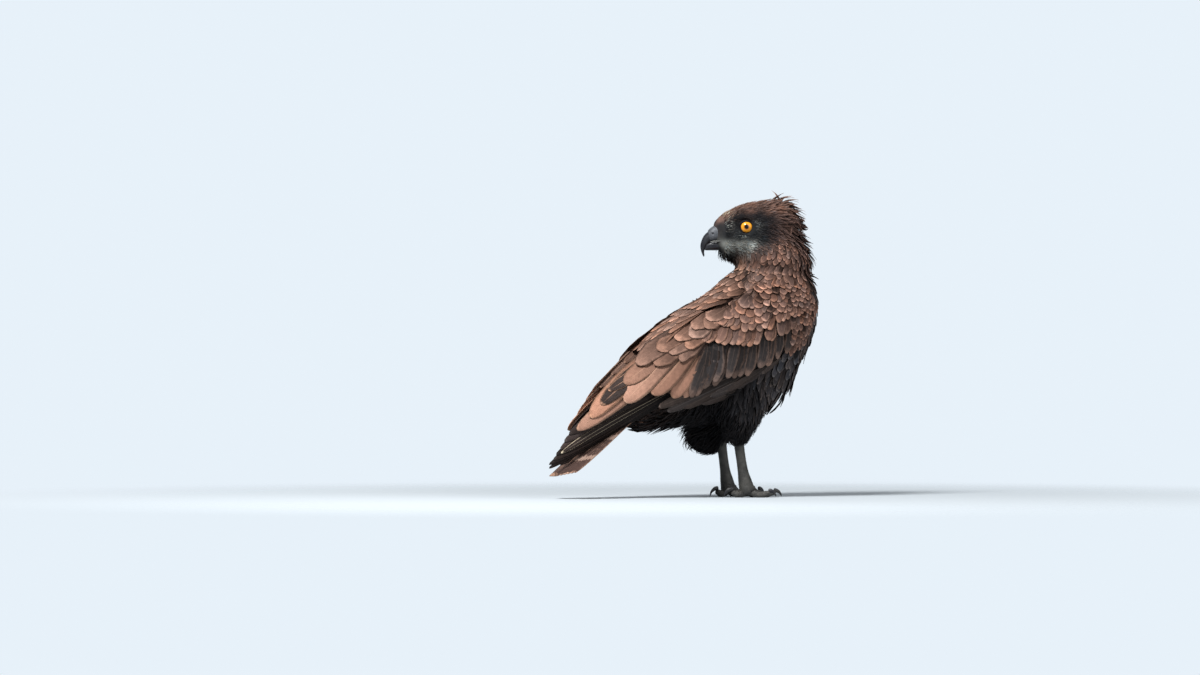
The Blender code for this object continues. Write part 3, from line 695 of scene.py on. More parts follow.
THIGH_GUIDES = {
    "right": [
        ((28, 40, 175), (-0.15, 0, -1), 32, 5.0, 8, 6.0, "lance", "breast", "breast_rim"),
        *THIGH_TOP_GUIDES,
        ((10, 40, 125), (-0.1, 0, -1), 24, 3.0, 10, 4.2, "lance", "trousers", "breast"),
        ((-42, 40, 125), (-0.25, 0, -1), 26, 1.6, 16, 3.2, "wisp", "trousers", "trousers"),
        ((-16, 42, 90), (-0.05, 0, -1), 15, 1.3, 10, 2.4, "wisp", "trousers", "trousers"),
    ],
    "left": [
        ((28, 40, 175), (-0.15, 0, -1), 32, 5.0, 10, 6.0, "lance", "breast", "breast_rim"),
        *THIGH_TOP_GUIDES,
        ((-5, 40, 115), (-0.2, 0, -1), 22, 1.6, 10, 3.0, "wisp", "trousers", "trousers"),
        ((-65, 40, 120), (-0.7, 0, -0.8), 26, 1.6, 26, 3.2, "wisp", "trousers", "trousers"),
        ((-48, 40, 75), (-0.5, 0, -0.9), 17, 1.2, 20, 2.4, "wisp", "trousers", "trousers"),
    ],
}


def guide_arrays(guides, colours, place=None, mirror=True):
    """The guides as arrays, with a mirrored copy of each unless the two sides differ."""
    spots, lies, sizes, outlines, middles, rims = [], [], [], [], [], []
    for spot, lie, length, width, lift, spacing, outline, middle, rim in guides:
        for side in (1, -1) if mirror else (1,):
            at, way = Vector(spot) * MM, Vector(lie)
            at.y, way.y = at.y * side, way.y * side
            if place:
                at, way = place @ at, place.to_3x3() @ way
            else:
                at += FEET
            spots.append(at)
            lies.append(way.normalized())
            sizes.append((length * MM, width * MM, radians(lift), spacing * MM))
            outlines.append(outline)
            middles.append(getattr(colours, middle)[:])
            rims.append(getattr(colours, rim)[:])
    return [np.array(rows) for rows in (spots, lies, sizes, outlines, middles, rims)]


def joined_guides(colours):
    """Every guide, as one set of arrays."""
    sets = [
        guide_arrays(HEAD_GUIDES, colours, HEAD),
        guide_arrays(NECK_GUIDES, colours, mirror=False),
        guide_arrays(BODY_GUIDES, colours),
    ]
    for name, side in SIDES.items():
        rows = [((x, y * side, z), *rest) for (x, y, z), *rest in THIGH_GUIDES[name]]
        sets.append(guide_arrays(rows, colours, mirror=False))
    return [np.concatenate(columns) for columns in zip(*sets)]


GUIDE_POWER, GUIDE_NEAR = 5.0, 6 * MM  # how steeply and from how near a guide takes over
GUIDE_BATCH = 4000  # points worked out at once


def blended(points, guides):
    """What the guides say at some points: lies, sizes, the nearest outline, and the two colours."""
    spots, lies, sizes, outlines, middles, rims = guides
    out = [np.zeros((len(points), k)) for k in (3, 4, 3, 3)]
    outline = np.empty(len(points), outlines.dtype)
    for start in range(0, len(points), GUIDE_BATCH):
        part = slice(start, start + GUIDE_BATCH)
        gap = np.linalg.norm(points[part, None] - spots[None], axis=2)
        weight = 1 / (gap + GUIDE_NEAR) ** GUIDE_POWER
        weight /= weight.sum(1, keepdims=True)
        for column, rows in zip(out, (lies, sizes, middles, rims)):
            column[part] = weight @ rows
        outline[part] = outlines[gap.argmin(1)]
    return out[0], out[1], outline, out[2], out[3]


LINE_STEPS = 5  # straight lengths in a feather's line along the skin
HOLLOW_BRIDGED = 0.85  # of the skin's hollows under a feather
STEEPEST_FALL = 0.9  # of a feather's edges, per its half width


class Ground:
    """The skin as feathers see it: its surface, and where each place lies on its map."""

    def __init__(self, skin):
        shape = bmesh.new()
        shape.from_mesh(skin.data)
        self.tree = BVHTree.FromBMesh(shape)
        layer = shape.loops.layers.uv["OFBake"]
        spots = [[loop[layer].uv for loop in face.loops] for face in shape.faces]
        self.map = np.array([sum(corners, Vector((0, 0))) / len(corners) for corners in spots])
        shape.free()

    def on_map(self, points):
        return self.map[[self.tree.find_nearest(Vector(point))[2] for point in points]]

    def laid(self, roots, lies, lengths):
        """Lines along the skin from each root, and the way out of the skin at their points."""
        spots, outs = np.zeros((2, len(roots), LINE_STEPS + 1, 3))
        for i, (root, lie, length) in enumerate(zip(roots, lies, lengths)):
            spot, way = Vector(root), Vector(lie)
            for k in range(LINE_STEPS + 1):
                spot, out, _, _ = self.tree.find_nearest(spot)
                spots[i, k], outs[i, k] = spot, out
                way = (way - out * way.dot(out)).normalized()
                spot = spot + way * (length / LINE_STEPS)
        outs[:, 1:-1] = outs[:, :-2] + 2 * outs[:, 1:-1] + outs[:, 2:]
        outs = unit(outs)
        share = np.linspace(0, 1, LINE_STEPS + 1)[None, :, None]
        chord = spots[:, :1] * (1 - share) + spots[:, -1:] * share
        rise = ((spots - chord) * outs).sum(2, keepdims=True)
        return spots + outs * np.maximum(-rise, 0) * HOLLOW_BRIDGED, outs

    def fall(self, spots, outs, widths):
        """How far the skin falls away under the edges of each feather, halfway along it."""
        half = spots.shape[1] // 2
        middle, out = spots[:, half], outs[:, half]
        aside = unit(np.cross(out, unit(spots[:, half + 1] - spots[:, half - 1]))) * widths[:, None]
        drops = []
        for side in (-1, 1):
            edge = middle + aside * side
            below = np.array([self.tree.find_nearest(Vector(point))[0] for point in edge])
            drops.append(((middle - below) * out).sum(1))
        return np.clip((drops[0] + drops[1]) / 2, 0, STEEPEST_FALL * widths)


ROOT_SINK = 0.9 * MM  # how far a body feather's root lies under the skin
SIZE_RANGE = (0.85, 1.12)  # lengths and half widths, as shares of what the guides say
LIFT_RANGE, HIGHEST_LIFT = (0.6, 1.5), radians(42)
LIE_SPREAD, ROLL_SPREAD, BOW_SPREAD = 0.09, 0.05, 0.05
RIM_BRISTLES = 0.35  # share of the bristles that have the rim's colour, the rest having the middle's
RUFFLED_SHARE = 0.1  # of the body's feathers, which show their dark bases
RUFFLED_MIDDLE, RUFFLED_RIM = 0.22, 0.55  # a ruffled feather's colours, as shares of the usual
BODY_TONES, WING_TONES = 0.12, 0.18  # how much feathers differ in lightness
WARMTHS, WARMTH_WAY = 0.05, np.array([1, -0.1, -1])  # and in warmth, for red, green and blue
LIGHTEST_RIM = 0.6


def tinted(middles, rims, dice, spread):
    """The feathers' colours, each a little lighter or darker and warmer or cooler than the next."""
    tone, worn = np.exp(dice.normal(0, spread, (2, len(middles), 1)))
    warmth = 1 + dice.normal(0, WARMTHS, (len(middles), 1)) * WARMTH_WAY
    return middles * tone * warmth, (rims * tone * worn * warmth).clip(0, LIGHTEST_RIM)


def grow(coat, vanes, roots, dice, reject):
    """Plants feathers on the skin at the roots as the guides say, but for those that reject their line."""
    ground, (lies, sizes, outlines, middles, rims) = WORK["ground"], blended(roots, WORK["guides"])
    count = len(roots)
    sizes[:, 0:2] *= dice.uniform(*SIZE_RANGE, (count, 2))
    sizes[:, 2] = np.minimum(sizes[:, 2] * dice.uniform(*LIFT_RANGE, count), HIGHEST_LIFT)
    lies += dice.normal(0, LIE_SPREAD, (count, 3)) * (1 + 4 * sizes[:, 2:3])
    pick = ((outlines == "bristle") & (dice.random(count) < RIM_BRISTLES))[:, None]
    plain = (outlines == "bristle")[:, None] & ~pick
    middles, rims = np.where(pick, rims, middles), np.where(plain, middles, rims)
    ruffled = ((outlines == "round") & (dice.random(count) < RUFFLED_SHARE))[:, None]
    middles = np.where(ruffled, middles * RUFFLED_MIDDLE, middles)
    rims = np.where(ruffled, rims * RUFFLED_RIM, rims)
    length, width, lift = sizes[:, 0], sizes[:, 1], sizes[:, 2]
    spots, outs = ground.laid(roots, unit(lies), length)
    fall = ground.fall(spots, outs, width)
    middles, rims = tinted(middles, rims, dice, BODY_TONES)
    keep = ~reject(spots)
    maps = ground.on_map(roots)
    roll, bow = dice.normal(0, ROLL_SPREAD, count), dice.normal(0, BOW_SPREAD, count)
    for outline, vane in vanes.items():
        version = dice.integers(0, len(vane.widths), count)
        for number, widths in enumerate(vane.widths):
            rows = np.flatnonzero(keep & (outlines == outline) & (version == number))
            if not len(rows):
                continue
            at = vane.share * LINE_STEPS
            low = np.minimum(at.astype(int), LINE_STEPS - 1)
            part = (at - low)[None, :, None]
            near, far = spots[rows][:, low], spots[rows][:, low + 1]
            spine = near * (1 - part) + far * part
            out = unit(outs[rows][:, low] * (1 - part) + outs[rows][:, low + 1] * part)
            aside = unit(np.cross(out, unit(far - near)))
            long, wide = length[rows, None], width[rows, None]
            sideways = widths * wide + bow[rows, None] * long * vane.share**2
            height = (
                long * np.tan(lift[rows, None]) * vane.share - ROOT_SINK * (1 - vane.share) ** 1.5
                + CROWN[outline] * wide * (1 - vane.across**2)
                + THICKNESS[outline] * MM * vane.top
                + np.tan(roll[rows, None]) * widths * wide
                - widths**2 * fall[rows, None]
            )
            points = spine + aside * sideways[..., None] + out * height[..., None]
            coat.add(vane, points, maps[rows], middles[rows], rims[rows])


CANDIDATES = 7  # tried places for each feather that a stretch of skin has room for
CLOSEST = 0.86  # how near to one another feathers may stand, as a share of their spacing


def scattered(skin, guides, dice, wanted):
    """Roots spread over the skin as far apart as the guides say, where wanted(points) is true."""
    skin.calc_loop_triangles()
    spots = np.array([vertex.co for vertex in skin.vertices])
    corners = spots[np.array([triangle.vertices for triangle in skin.loop_triangles])]
    along, across = corners[:, 1] - corners[:, 0], corners[:, 2] - corners[:, 0]
    area = np.linalg.norm(np.cross(along, across), axis=1) / 2
    spacing = blended(corners.mean(1), guides)[1][:, 3]
    hopes = area / spacing**2 * CANDIDATES
    counts = np.floor(hopes + dice.random(len(hopes))).astype(int)
    rows = np.repeat(np.arange(len(area)), counts)
    u, v = dice.random((2, len(rows)))
    flip = u + v > 1
    u, v = np.where(flip, 1 - u, u), np.where(flip, 1 - v, v)
    points = corners[rows, 0] + along[rows] * u[:, None] + across[rows] * v[:, None]
    good = wanted(points)
    points, apart = points[good], spacing[rows][good] * CLOSEST
    tree = KDTree(len(points))
    for i, point in enumerate(points):
        tree.insert(point, i)
    tree.balance()
    alive, chosen = np.ones(len(points), bool), []
    for i in dice.permutation(len(points)):
        if alive[i]:
            chosen.append(i)
            for _, j, _ in tree.find_range(points[i], apart[i]):
                alive[j] = False
    return points[chosen]


# Folded wings ---------------------------------------------------------

WING_CHORD = 492 * MM  # from the bend to the longest primary
BENDS = {-1: np.array([105, 0, 290]) * MM, 1: np.array([105, 0, 300]) * MM}
TIPS = {-1: np.array([-325, 0, 50]) * MM, 1: np.array([-306, 0, 56]) * MM}
TIP_INSETS = {-1: 0, 1: 10 * MM}
BULGE_HEIGHT = 18 * MM
WING_WIDTHS = [  # distance from the middle plane and radius of the bulge, from the bend to the tip
    (66, 64), (82, 80), (89, 86), (90, 88), (87, 88), (78, 84), (66, 76), (54, 66), (42, 58), (32, 52),
    (25, 50),
]
PAD = [  # upper and lower edge of the coverts' pad
    (52, -10), (78, -34), (90, -44), (94, -48), (95, -47), (93, -42), (89, -32), (84, -18), (77, -2),
    (68, 22),
]
PAD_START, PAD_LENGTH, EDGE_SINK = -4 * MM, 312 * MM, 9 * MM


def wing_axes(side):
    """The wing's chord, from the bend to the tip, and the way up across it."""
    chord = (TIPS[side] - BENDS[side]) / WING_CHORD
    return chord, unit(np.array([chord[2], 0, -chord[0]]))


def wing_point(side, along, above, sunk):
    """Points on the folded wing's outer surface. Where sunk, the coverts' edges dip into the body."""
    chord, rise = wing_axes(side)
    rows = between(WING_WIDTHS, along / WING_CHORD) * MM
    width = rows[..., 0] - TIP_INSETS[side] * np.maximum(0, along / WING_CHORD) ** 2
    off = np.minimum(np.abs(above - BULGE_HEIGHT) / rows[..., 1], 0.95)
    out = width * np.sqrt(1 - off * off)
    if sunk:
        share = (along - PAD_START) / PAD_LENGTH
        edges = between(PAD, share) * MM
        middle, half = edges.mean(-1), (edges[..., 0] - edges[..., 1]) / 2
        across = np.clip((above - middle) / half, -1.1, 1.1)
        end = rounding(np.clip(share, 0, 1), 0.12, 0.1)
        out -= EDGE_SINK * np.clip(1 - share, 0, 1) * (across**4 + 1 - end)
    flat = BENDS[side] + chord * along[..., None] + rise * above[..., None] + np.array(FEET)
    flat[..., 1] += side * out
    return flat


SLOPE_STEP = 2 * MM  # over which a surface's slope is taken
LAID_BOW_SPREAD, LAID_ROLL_SPREAD = 0.012, 0.025


def on_chord(points, side):
    """How far points lie along the wing's chord and above it."""
    chord, rise = wing_axes(side)
    off = points - np.array(FEET) - BENDS[side]
    return off @ chord, off @ rise


def lay(coat, vane, surface, turn, rows, dice, strips=0, tilt=0.12):
    """Lays feathers on surface(along, aside), which faces out where along x aside, times turn, points.
    rows holds for each: its tip along and aside, angle to the along line, length, half width, how deep
    its root and how high its tip lies, and its two colours. Long feathers get strips of their own on
    the bake's map, out of so many. The tilt makes each overlap its neighbour."""
    tips, (angle, length, width, deep, high) = rows[:, 0:2], rows[:, 2:7].T
    count = len(rows)
    way = np.stack([np.cos(angle), np.sin(angle)], 1)
    aside = turn * np.stack([-way[:, 1], way[:, 0]], 1)
    roots = tips - way * length[:, None]
    version = dice.integers(0, len(vane.widths), count)
    widths = np.array(vane.widths)[version] * width[:, None]
    bow = dice.normal(0, LAID_BOW_SPREAD, count)[:, None] * length[:, None]
    sideways = widths + bow * 4 * vane.share * (1 - vane.share)
    spot = roots[:, None] + way[:, None] * (length[:, None] * vane.share)[..., None]
    spot = spot + aside[:, None] * sideways[..., None]
    first, second = spot[..., 0], spot[..., 1]
    ahead = surface(first + SLOPE_STEP, second) - surface(first - SLOPE_STEP, second)
    across = surface(first, second + SLOPE_STEP) - surface(first, second - SLOPE_STEP)
    out = unit(np.cross(ahead, across) * turn)
    roll = dice.normal(-turn * tilt, LAID_ROLL_SPREAD, count)[:, None]
    height = (
        high[:, None] * vane.share - deep[:, None] * (1 - vane.share) ** 1.5
        + CROWN[vane.outline] * width[:, None] * (1 - vane.across**2)
        + THICKNESS[vane.outline] * MM * vane.top
        + roll * widths
    )
    points = surface(first, second) + out * height[..., None]
    colours = tinted(rows[:, 7:10], rows[:, 10:13], dice, WING_TONES)
    if strips:
        coat.add_strips(vane, points, strips, *colours)
    else:
        coat.add(vane, points, WORK["ground"].on_map(surface(roots[:, 0], roots[:, 1])), *colours)


def on_wing(side, sunk):
    """The wing's surface as a function of places along and above its chord."""
    return lambda along, above: wing_point(side, along, above, sunk)


LESSER_GUIDES = [  # along, above, angle in degrees, length, half width, spacing
    (0, 20, -72, 15, 4.5, 6.0),
    (0, 55, -48, 16, 5.0, 6.5),
    (30, -12, -66, 20, 6.0, 7.5),
    (40, 35, -52, 20, 6.5, 8.0),
    (55, 85, -25, 24, 8.0, 10.0),
    (80, 20, -52, 24, 7.5, 9.5),
    (95, 60, -34, 27, 9.0, 11.5),
    (110, 100, -14, 36, 12.0, 14.0),
    (140, 60, -28, 32, 10.5, 13.0),
    (170, 80, -22, 36, 12.0, 14.5),
    (190, 98, -10, 44, 14.0, 17.0),
]
COVERT_ROWS = [  # tips along and above; angle, length and half width at the row's two ends; count; depths
    ([(81, -27), (109, -29), (133, -26), (156, -24), (177, -18), (198, -11), (220, -8), (242, -8),
      (262, -8)],
     (-62, -42), (54, 86), (10, 13), 14, (3, 1.2)),
    ([(60, 2), (82, 4), (104, 7), (126, 13), (144, 21), (160, 29), (176, 38), (190, 52), (204, 60)],
     (-56, -27), (36, 50), (8.5, 12), 14, (2.5, 2.0)),
    ([(50, 19), (70, 20), (92, 23), (112, 29), (130, 40), (147, 52), (162, 64), (176, 76)],
     (-54, -20), (30, 42), (7.5, 11), 14, (2.2, 2.2)),
]
EDGE_ROW = (
    [(128, -38), (150, -40), (180, -38), (211, -33), (240, -28), (265, -22), (290, -14), (312, 4)],
    (2, 9), (100, 130), (7, 9), 9, (6, -2.0),
)
TERTIALS = [  # tip along and above, angle, length, half width, depth of the root, rise of the tip
    (436, 34, -8, 210, 14, 8, -4.0),
    (409, 41, -12, 205, 16, 7, -2.2),
    (384, 50, -13, 180, 14, 10, -1.0),
    (362, 62, -9, 145, 9, 9, -0.4),
    (352, 36, -17, 150, 17, 3.5, 0.2),
    (336, 60, -10, 120, 14, 5, -0.4),
    (268, -4, -40, 95, 12, 7, -2.4),
    (284, 5, -30, 110, 15, 6.5, -1.8),
    (310, 26, -23, 128, 18, 4.5, 0.4),
]
TERTIAL_SHIFTS = {-1: 0, 1: 13 * MM}
INNER_TERTIALS = [  # the left wing's innermost, which lean over the slot between the wings
    (120, 0, 2, 105, 8.5, 2, 0.5),
    (92, -1, 3, 90, 8, 3, 1.5),
    (64, -4.5, 3, 72, 7.5, 4, 2.0),
]
INNER_START = np.array([46, 25, 258]) * MM
INNER_BACK = np.array([95, 0, 0]) * MM
INNER_AHEAD = np.array([-0.70, 0, -0.714])
INNER_ASIDE = np.array([-0.571, 0.6, 0.56])
SHADED_TERTIALS = {-1: [2, 3], 1: []}  # painted shade: their middles take the primaries' near-black, standing in for the shadowed hollow between the tertials; their edges stay pale
SCAPULARS = [
    (303, 74, -9, 100, 14, 4, 2.4),
    (283, 62, -11, 92, 15, 4, 2.6),
    (264, 77, -6, 88, 14, 4, 2.8),
    (254, 66, -8, 80, 14, 4, 3.0),
    (248, 50, -12, 70, 12, 3.5, 3.0),
    (228, 62, -12, 66, 13, 3.5, 3.4),
    (232, 78, -6, 72, 13, 3.5, 3.2),
    (212, 72, -9, 62, 13, 3.5, 3.6),
    (200, 80, -4, 58, 11, 3, 3.6),
    (184, 72, -9, 54, 12, 3, 3.8),
    (172, 80, -3, 50, 11, 3, 3.6),
]
PRIMARIES = [
    (448, 34, -5, 230, 13, 1.5, 0),
    (460, 27, -4.5, 240, 13, 1.5, 0),
    (471, 18, -4.5, 250, 12, 1.5, 0),
    (480, 13, -4, 255, 12, 1.5, 0),
    (487, 7, -4, 260, 11, 1.5, 0),
    (495, 3, -3.5, 264, 10, 1.5, 0),
    (497, -4, -2.5, 264, 9, 1.5, 0),
]
EDGED_PRIMARY = [(474, 12.5, -0.8, 200, 6, 12, -9.5)]  # narrow and pale-edged, over the others
PRIMARY_DEPTH, PRIMARY_STEP = 12.5 * MM, 0.75 * MM


def inner_point(along, aside):
    """Points on a sheet along the left wing's inner edge."""
    return INNER_START - INNER_BACK + along[..., None] * INNER_AHEAD + aside[..., None] * INNER_ASIDE


def coloured(table, middle, rim):
    """A table's rows in metres and radians, with colours."""
    rows = np.array(table, float)
    rows[:, [0, 1, 3, 4, 5, 6]] *= MM
    rows[:, 2] = np.radians(rows[:, 2])
    return np.concatenate([rows, np.tile([*middle, *rim], (len(rows), 1))], 1)


ROW_SHARE_SPREAD, ROW_TIP_SPREAD, ROW_ANGLE_SPREAD = 0.18, 1.6, 3.5
LONG_RANGE, WIDE_RANGE = (0.95, 1.08), (0.9, 1.1)  # lengths and half widths, as shares of the table's


def spread_row(tips, angles, lengths, widths, count, depths, dice):
    """A row of like feathers, their tips spread along a line."""
    share = np.clip(np.linspace(0, 1, count) + dice.normal(0, ROW_SHARE_SPREAD / count, count), 0, 1)
    rows = between(tips, share) + dice.normal(0, ROW_TIP_SPREAD, (count, 2))
    angles, lengths, widths = (np.interp(share, (0, 1), pair) for pair in (angles, lengths, widths))
    angles += dice.normal(0, ROW_ANGLE_SPREAD, count)
    lengths *= dice.uniform(*LONG_RANGE, count)
    widths *= dice.uniform(*SIZE_RANGE, count)
    deep, high = depths
    return [(a, b, *values, deep, high) for (a, b), *values in zip(rows, angles, lengths, widths)]


LESSER_ALONG, LESSER_ABOVE, LESSER_TRIES = (-6, 215), (-40, 118), 9000  # tried places of tips
LESSER_NEAR, LESSER_POWER = 6, -4.0  # from how near and how steeply a guide takes over
LESSER_TOP, LESSER_LOW = 86, 2  # highest root above the chord, and how far tips pass the pad's lower edge
ROWS_START, ROWS_SPAN, OVER_ROWS = 40, 160, 8  # the covert rows' stretch, and a step above them
BEND_ALONG, BEND_SLOPE, BEND_ABOVE, BELOW_ALL = 46, 0.5, 20, -60  # nearer the bend there are no rows
LESSER_ANGLES, LESSER_LENGTHS = 7, (0.85, 1.15)
LESSER_ROOT, LESSER_RISE = 1.6, 2.2  # depth of roots and height of tips
ROOT_SLOPE, ROOT_ABOVE = 0.16, 62  # higher up, the roots lie deeper, under the scapulars


def lesser_rows(dice):
    """The small coverts, scattered over the wing's shoulder above the rows."""
    table = np.array(LESSER_GUIDES, float)
    along, above = dice.uniform(*LESSER_ALONG, LESSER_TRIES), dice.uniform(*LESSER_ABOVE, LESSER_TRIES)
    spots = np.stack([along, above], 1)
    gap = np.linalg.norm(spots[:, None] - table[None, :, :2], axis=2) + LESSER_NEAR
    weight = gap**LESSER_POWER
    values = (weight / weight.sum(1, keepdims=True)) @ table[:, 2:]
    share = (along - PAD_START / MM) / (PAD_LENGTH / MM)
    top, low = between(PAD, share).T
    last = between(COVERT_ROWS[2][0], np.clip((along - ROWS_START) / ROWS_SPAN, 0, 1))[:, 1] + OVER_ROWS
    last = np.where(along < BEND_ALONG + BEND_SLOPE * np.maximum(0, BEND_ABOVE - above), BELOW_ALL, last)
    roots = above - np.sin(np.radians(values[:, 0])) * values[:, 1]
    good = (roots < np.minimum(top, LESSER_TOP)) & (share > 0)
    good &= above > np.maximum(low - LESSER_LOW, last)
    chosen = []
    for spot, value in zip(spots[good], values[good]):
        if all(hypot(*(spot - other)) > value[3] * CLOSEST for other, _ in chosen):
            chosen.append((spot, value))
    return [
        (*spot, angle + dice.normal(0, LESSER_ANGLES), length * dice.uniform(*LESSER_LENGTHS),
         width * dice.uniform(*WIDE_RANGE),
         LESSER_ROOT + ROOT_SLOPE * max(0, spot[1] - np.sin(radians(angle)) * length - ROOT_ABOVE),
         LESSER_RISE * dice.uniform(*LIFT_RANGE))
        for spot, (angle, length, width, _) in chosen
    ]


BACK = [  # the plumage's top between the wings, from the neck to the rump: x, height in the middle
    # and at the edges, and how far the edges are from the middle
    (-10, 352, 322, 50), (-35, 329, 314, 48), (-60, 309, 304, 46), (-85, 292, 291, 45),
    (-110, 277, 276, 44), (-135, 261, 258, 46), (-160, 240, 232, 46), (-185, 218, 208, 42),
    (-210, 198, 190, 37), (-235, 172, 166, 32),
]
BACK_LENGTH = 285 * MM
BACK_ROWS = [  # along the back: feathers' length, half width and spacing aside
    (14, 26, 7.5, 12), (26, 30, 8.5, 13), (40, 36, 9.5, 14), (56, 42, 10.5, 15), (74, 50, 11.5, 16),
    (94, 58, 12.5, 17), (116, 66, 13.5, 18), (140, 74, 14, 19), (164, 82, 14.5, 19), (188, 88, 14.5, 19),
    (206, 92, 14, 19),
]
BACK_EDGES = [  # the long feathers at either side of the dark slot over the rump
    (236, 34, 2, 95, 12, 3), (262, 31, 3, 110, 11, 3), (285, 28, 3, 120, 10, 3),
]
BACK_EDGE_RISES = {-1: 0, 1: 2.5}
BACK_REACH, BACK_SLOPE_REACH = 47, 1.3  # feathers' widest place, and where the slope ends, per edge
BACK_ALONG_SPREAD, BACK_ASIDE_SPREAD, BACK_ANGLE_SPREAD = 2, 1.2, 3
BACK_ROOT, BACK_RISE, BACK_RISE_RANGE = 2.5, 1.6, (0.5, 1.5)


def back_point(along, aside):
    """Points on the top of the plumage between the wings."""
    x, middle, edge, width = np.moveaxis(between(BACK, along / BACK_LENGTH) * MM, -1, 0)
    off = np.clip(np.abs(aside) / width, 0, BACK_SLOPE_REACH) ** 2
    return np.stack([x, aside, middle + (edge - middle) * off], -1) + np.array(FEET)


def back_rows(dice):
    """The mantle's feathers, in staggered rows that close the slot between the wings."""
    rows = []
    for number, (along, length, width, gap) in enumerate(BACK_ROWS):
        first = (number % 2) * gap / 2
        for aside in np.arange(first - 3 * gap, BACK_REACH + 1, gap):
            if abs(aside) < BACK_REACH:
                rows.append((
                    along + dice.normal(0, BACK_ALONG_SPREAD), aside + dice.normal(0, BACK_ASIDE_SPREAD),
                    dice.normal(0, BACK_ANGLE_SPREAD), length * dice.uniform(*LONG_RANGE),
                    width * dice.uniform(*WIDE_RANGE), BACK_ROOT,
                    BACK_RISE * dice.uniform(*BACK_RISE_RANGE),
                ))
    return rows


# Tail -----------------------------------------------------------------

TAIL_ROOT = Vector((-131, 0, 184)) * MM
TAIL_SLOPE, TAIL_LENGTH = radians(39), 240 * MM
TAIL_PAIRS = np.linspace(0.2, 3.0, 6)  # each pair's place, counted as the solids' blades are
TAIL_HALF_WIDTH, TAIL_NARROWING = 15.5 * MM, 0.6 * MM
TAIL_SPREAD = {-1: 5.6 * MM, 1: 5.4 * MM}
TAIL_STEPS = {-1: 6 * MM, 1: 1.5 * MM}
TAIL_DROPS = {-1: 2.3 * MM, 1: 1.5 * MM}
TAIL_ROOT_STEP, TAIL_CROWN, TAIL_TIP_GAP = 5 * MM, 2.6 * MM, 1 * MM
TAIL_TONES = 0.06
TAIL_BARS = ((0.36, 0.025), (0.6, 0.03), (0.82, 0.03), (1.0, 0.02))  # places along a feather, half widths


def tail_feather(vane, widths, pair, side):
    """Points of one tail feather, each lower and further out than its inner neighbour."""
    back = np.array([-cos(TAIL_SLOPE), 0, -sin(TAIL_SLOPE)])
    down = np.array([sin(TAIL_SLOPE), 0, -cos(TAIL_SLOPE)])
    length = TAIL_LENGTH - pair * TAIL_STEPS[side] - TAIL_TIP_GAP
    half = TAIL_HALF_WIDTH - pair * TAIL_NARROWING
    sideways = side * pair * (TAIL_ROOT_STEP + TAIL_SPREAD[side] * vane.share) + widths * half
    drop = pair * TAIL_DROPS[side] - TAIL_CROWN * (1 - vane.across**2) - THICKNESS["quill"] * MM * vane.top
    points = np.array(FEET + TAIL_ROOT) + back * (vane.share * length)[:, None] + down * drop[:, None]
    points[:, 1] += sideways
    return points


# Head, bill and eyes --------------------------------------------------

UPPER_BILL = [
    (62, 426, 60, 403, 11), (70, 422, 66, 402, 10.6), (77, 417, 72, 399, 9.6),
    (83.5, 410.5, 77.5, 395.5, 7.8), (87.5, 402, 80.5, 391, 6), (89, 394, 82, 388.5, 4.4),
    (87.5, 385.5, 83, 385, 2.9), (84, 377, 82.3, 378.5, 1.2),
]
LOWER_BILL = [
    (46, 403, 48, 389, 10), (56, 403.5, 57, 388, 9.8), (65, 403.5, 65, 387.5, 9.0),
    (73, 402, 73, 387.5, 7.6), (80, 398, 79.5, 387.5, 5), (84, 392, 82.5, 388, 2.4),
]
CERE_STATIONS = [
    (56, 431, 56, 399, 12.5), (66, 427, 62, 401, 12.5), (73, 423, 69, 401, 11.6),
    (78, 417.5, 74, 400, 10.2),
]
NOSTRIL = (69.5 * MM, 413.5 * MM)
NOSTRIL_RADII, NOSTRIL_DEPTH = (2.6 * MM, 1.9 * MM), 2.4 * MM
NOSTRIL_RIM, NOSTRIL_RIM_PLACE, NOSTRIL_RIM_BREADTH = 0.35 * MM, 1.25, 0.25  # the last two per radius
BILL_MIDDLE = 4 * MM  # within this of the middle plane nothing is pressed in
GAPE = [  # the line of the mouth back over the cheek: fore, side, height, and two radii
    (74, 8.6, 400.5, 0.7, 0.6), (67, 10.8, 401.5, 1.3, 0.9), (60, 12.8, 401.6, 1.1, 0.8),
    (54, 14.4, 401.2, 0.5, 0.4),
]


def nostril_dent(points):
    """Presses the nostrils into the cere, with a raised rim round each."""
    radius = np.hypot(
        (points[:, 0] - NOSTRIL[0]) / NOSTRIL_RADII[0], (points[:, 2] - NOSTRIL[1]) / NOSTRIL_RADII[1]
    )
    rim = np.exp(-((radius - NOSTRIL_RIM_PLACE) / NOSTRIL_RIM_BREADTH) ** 2)
    dent = NOSTRIL_DEPTH * (1 - smooth_step(radius, 0.3, 1.0)) - NOSTRIL_RIM * rim
    away = np.abs(points[:, 1]) > BILL_MIDDLE
    points[:, 1] -= np.where(away, np.sign(points[:, 1]) * dent, 0)
    return points


def eye_mesh(side):
    """The eyeball, with a flat map of its disc for the iris to be drawn on."""

    def place(share, across, up):
        girth = np.sin(pi * share)
        local = np.stack([girth * across, -np.cos(pi * share) * side, girth * up], 1) * EYE_RADIUS
        return moved(local + np.array([EYE.x, EYE.y * side, EYE.z]), HEAD)

    mesh = closed_mesh("eye", place, 48, 32)
    layer = mesh.uv_layers.new(name="disc")
    inward = HEAD.inverted()
    for loop in mesh.loops:
        spot = inward @ mesh.vertices[loop.vertex_index].co
        layer.uv[loop.index].vector = ((spot.x - EYE.x) / EYE_RADIUS, (spot.z - EYE.z) / EYE_RADIUS)
    return mesh


# Legs -----------------------------------------------------------------

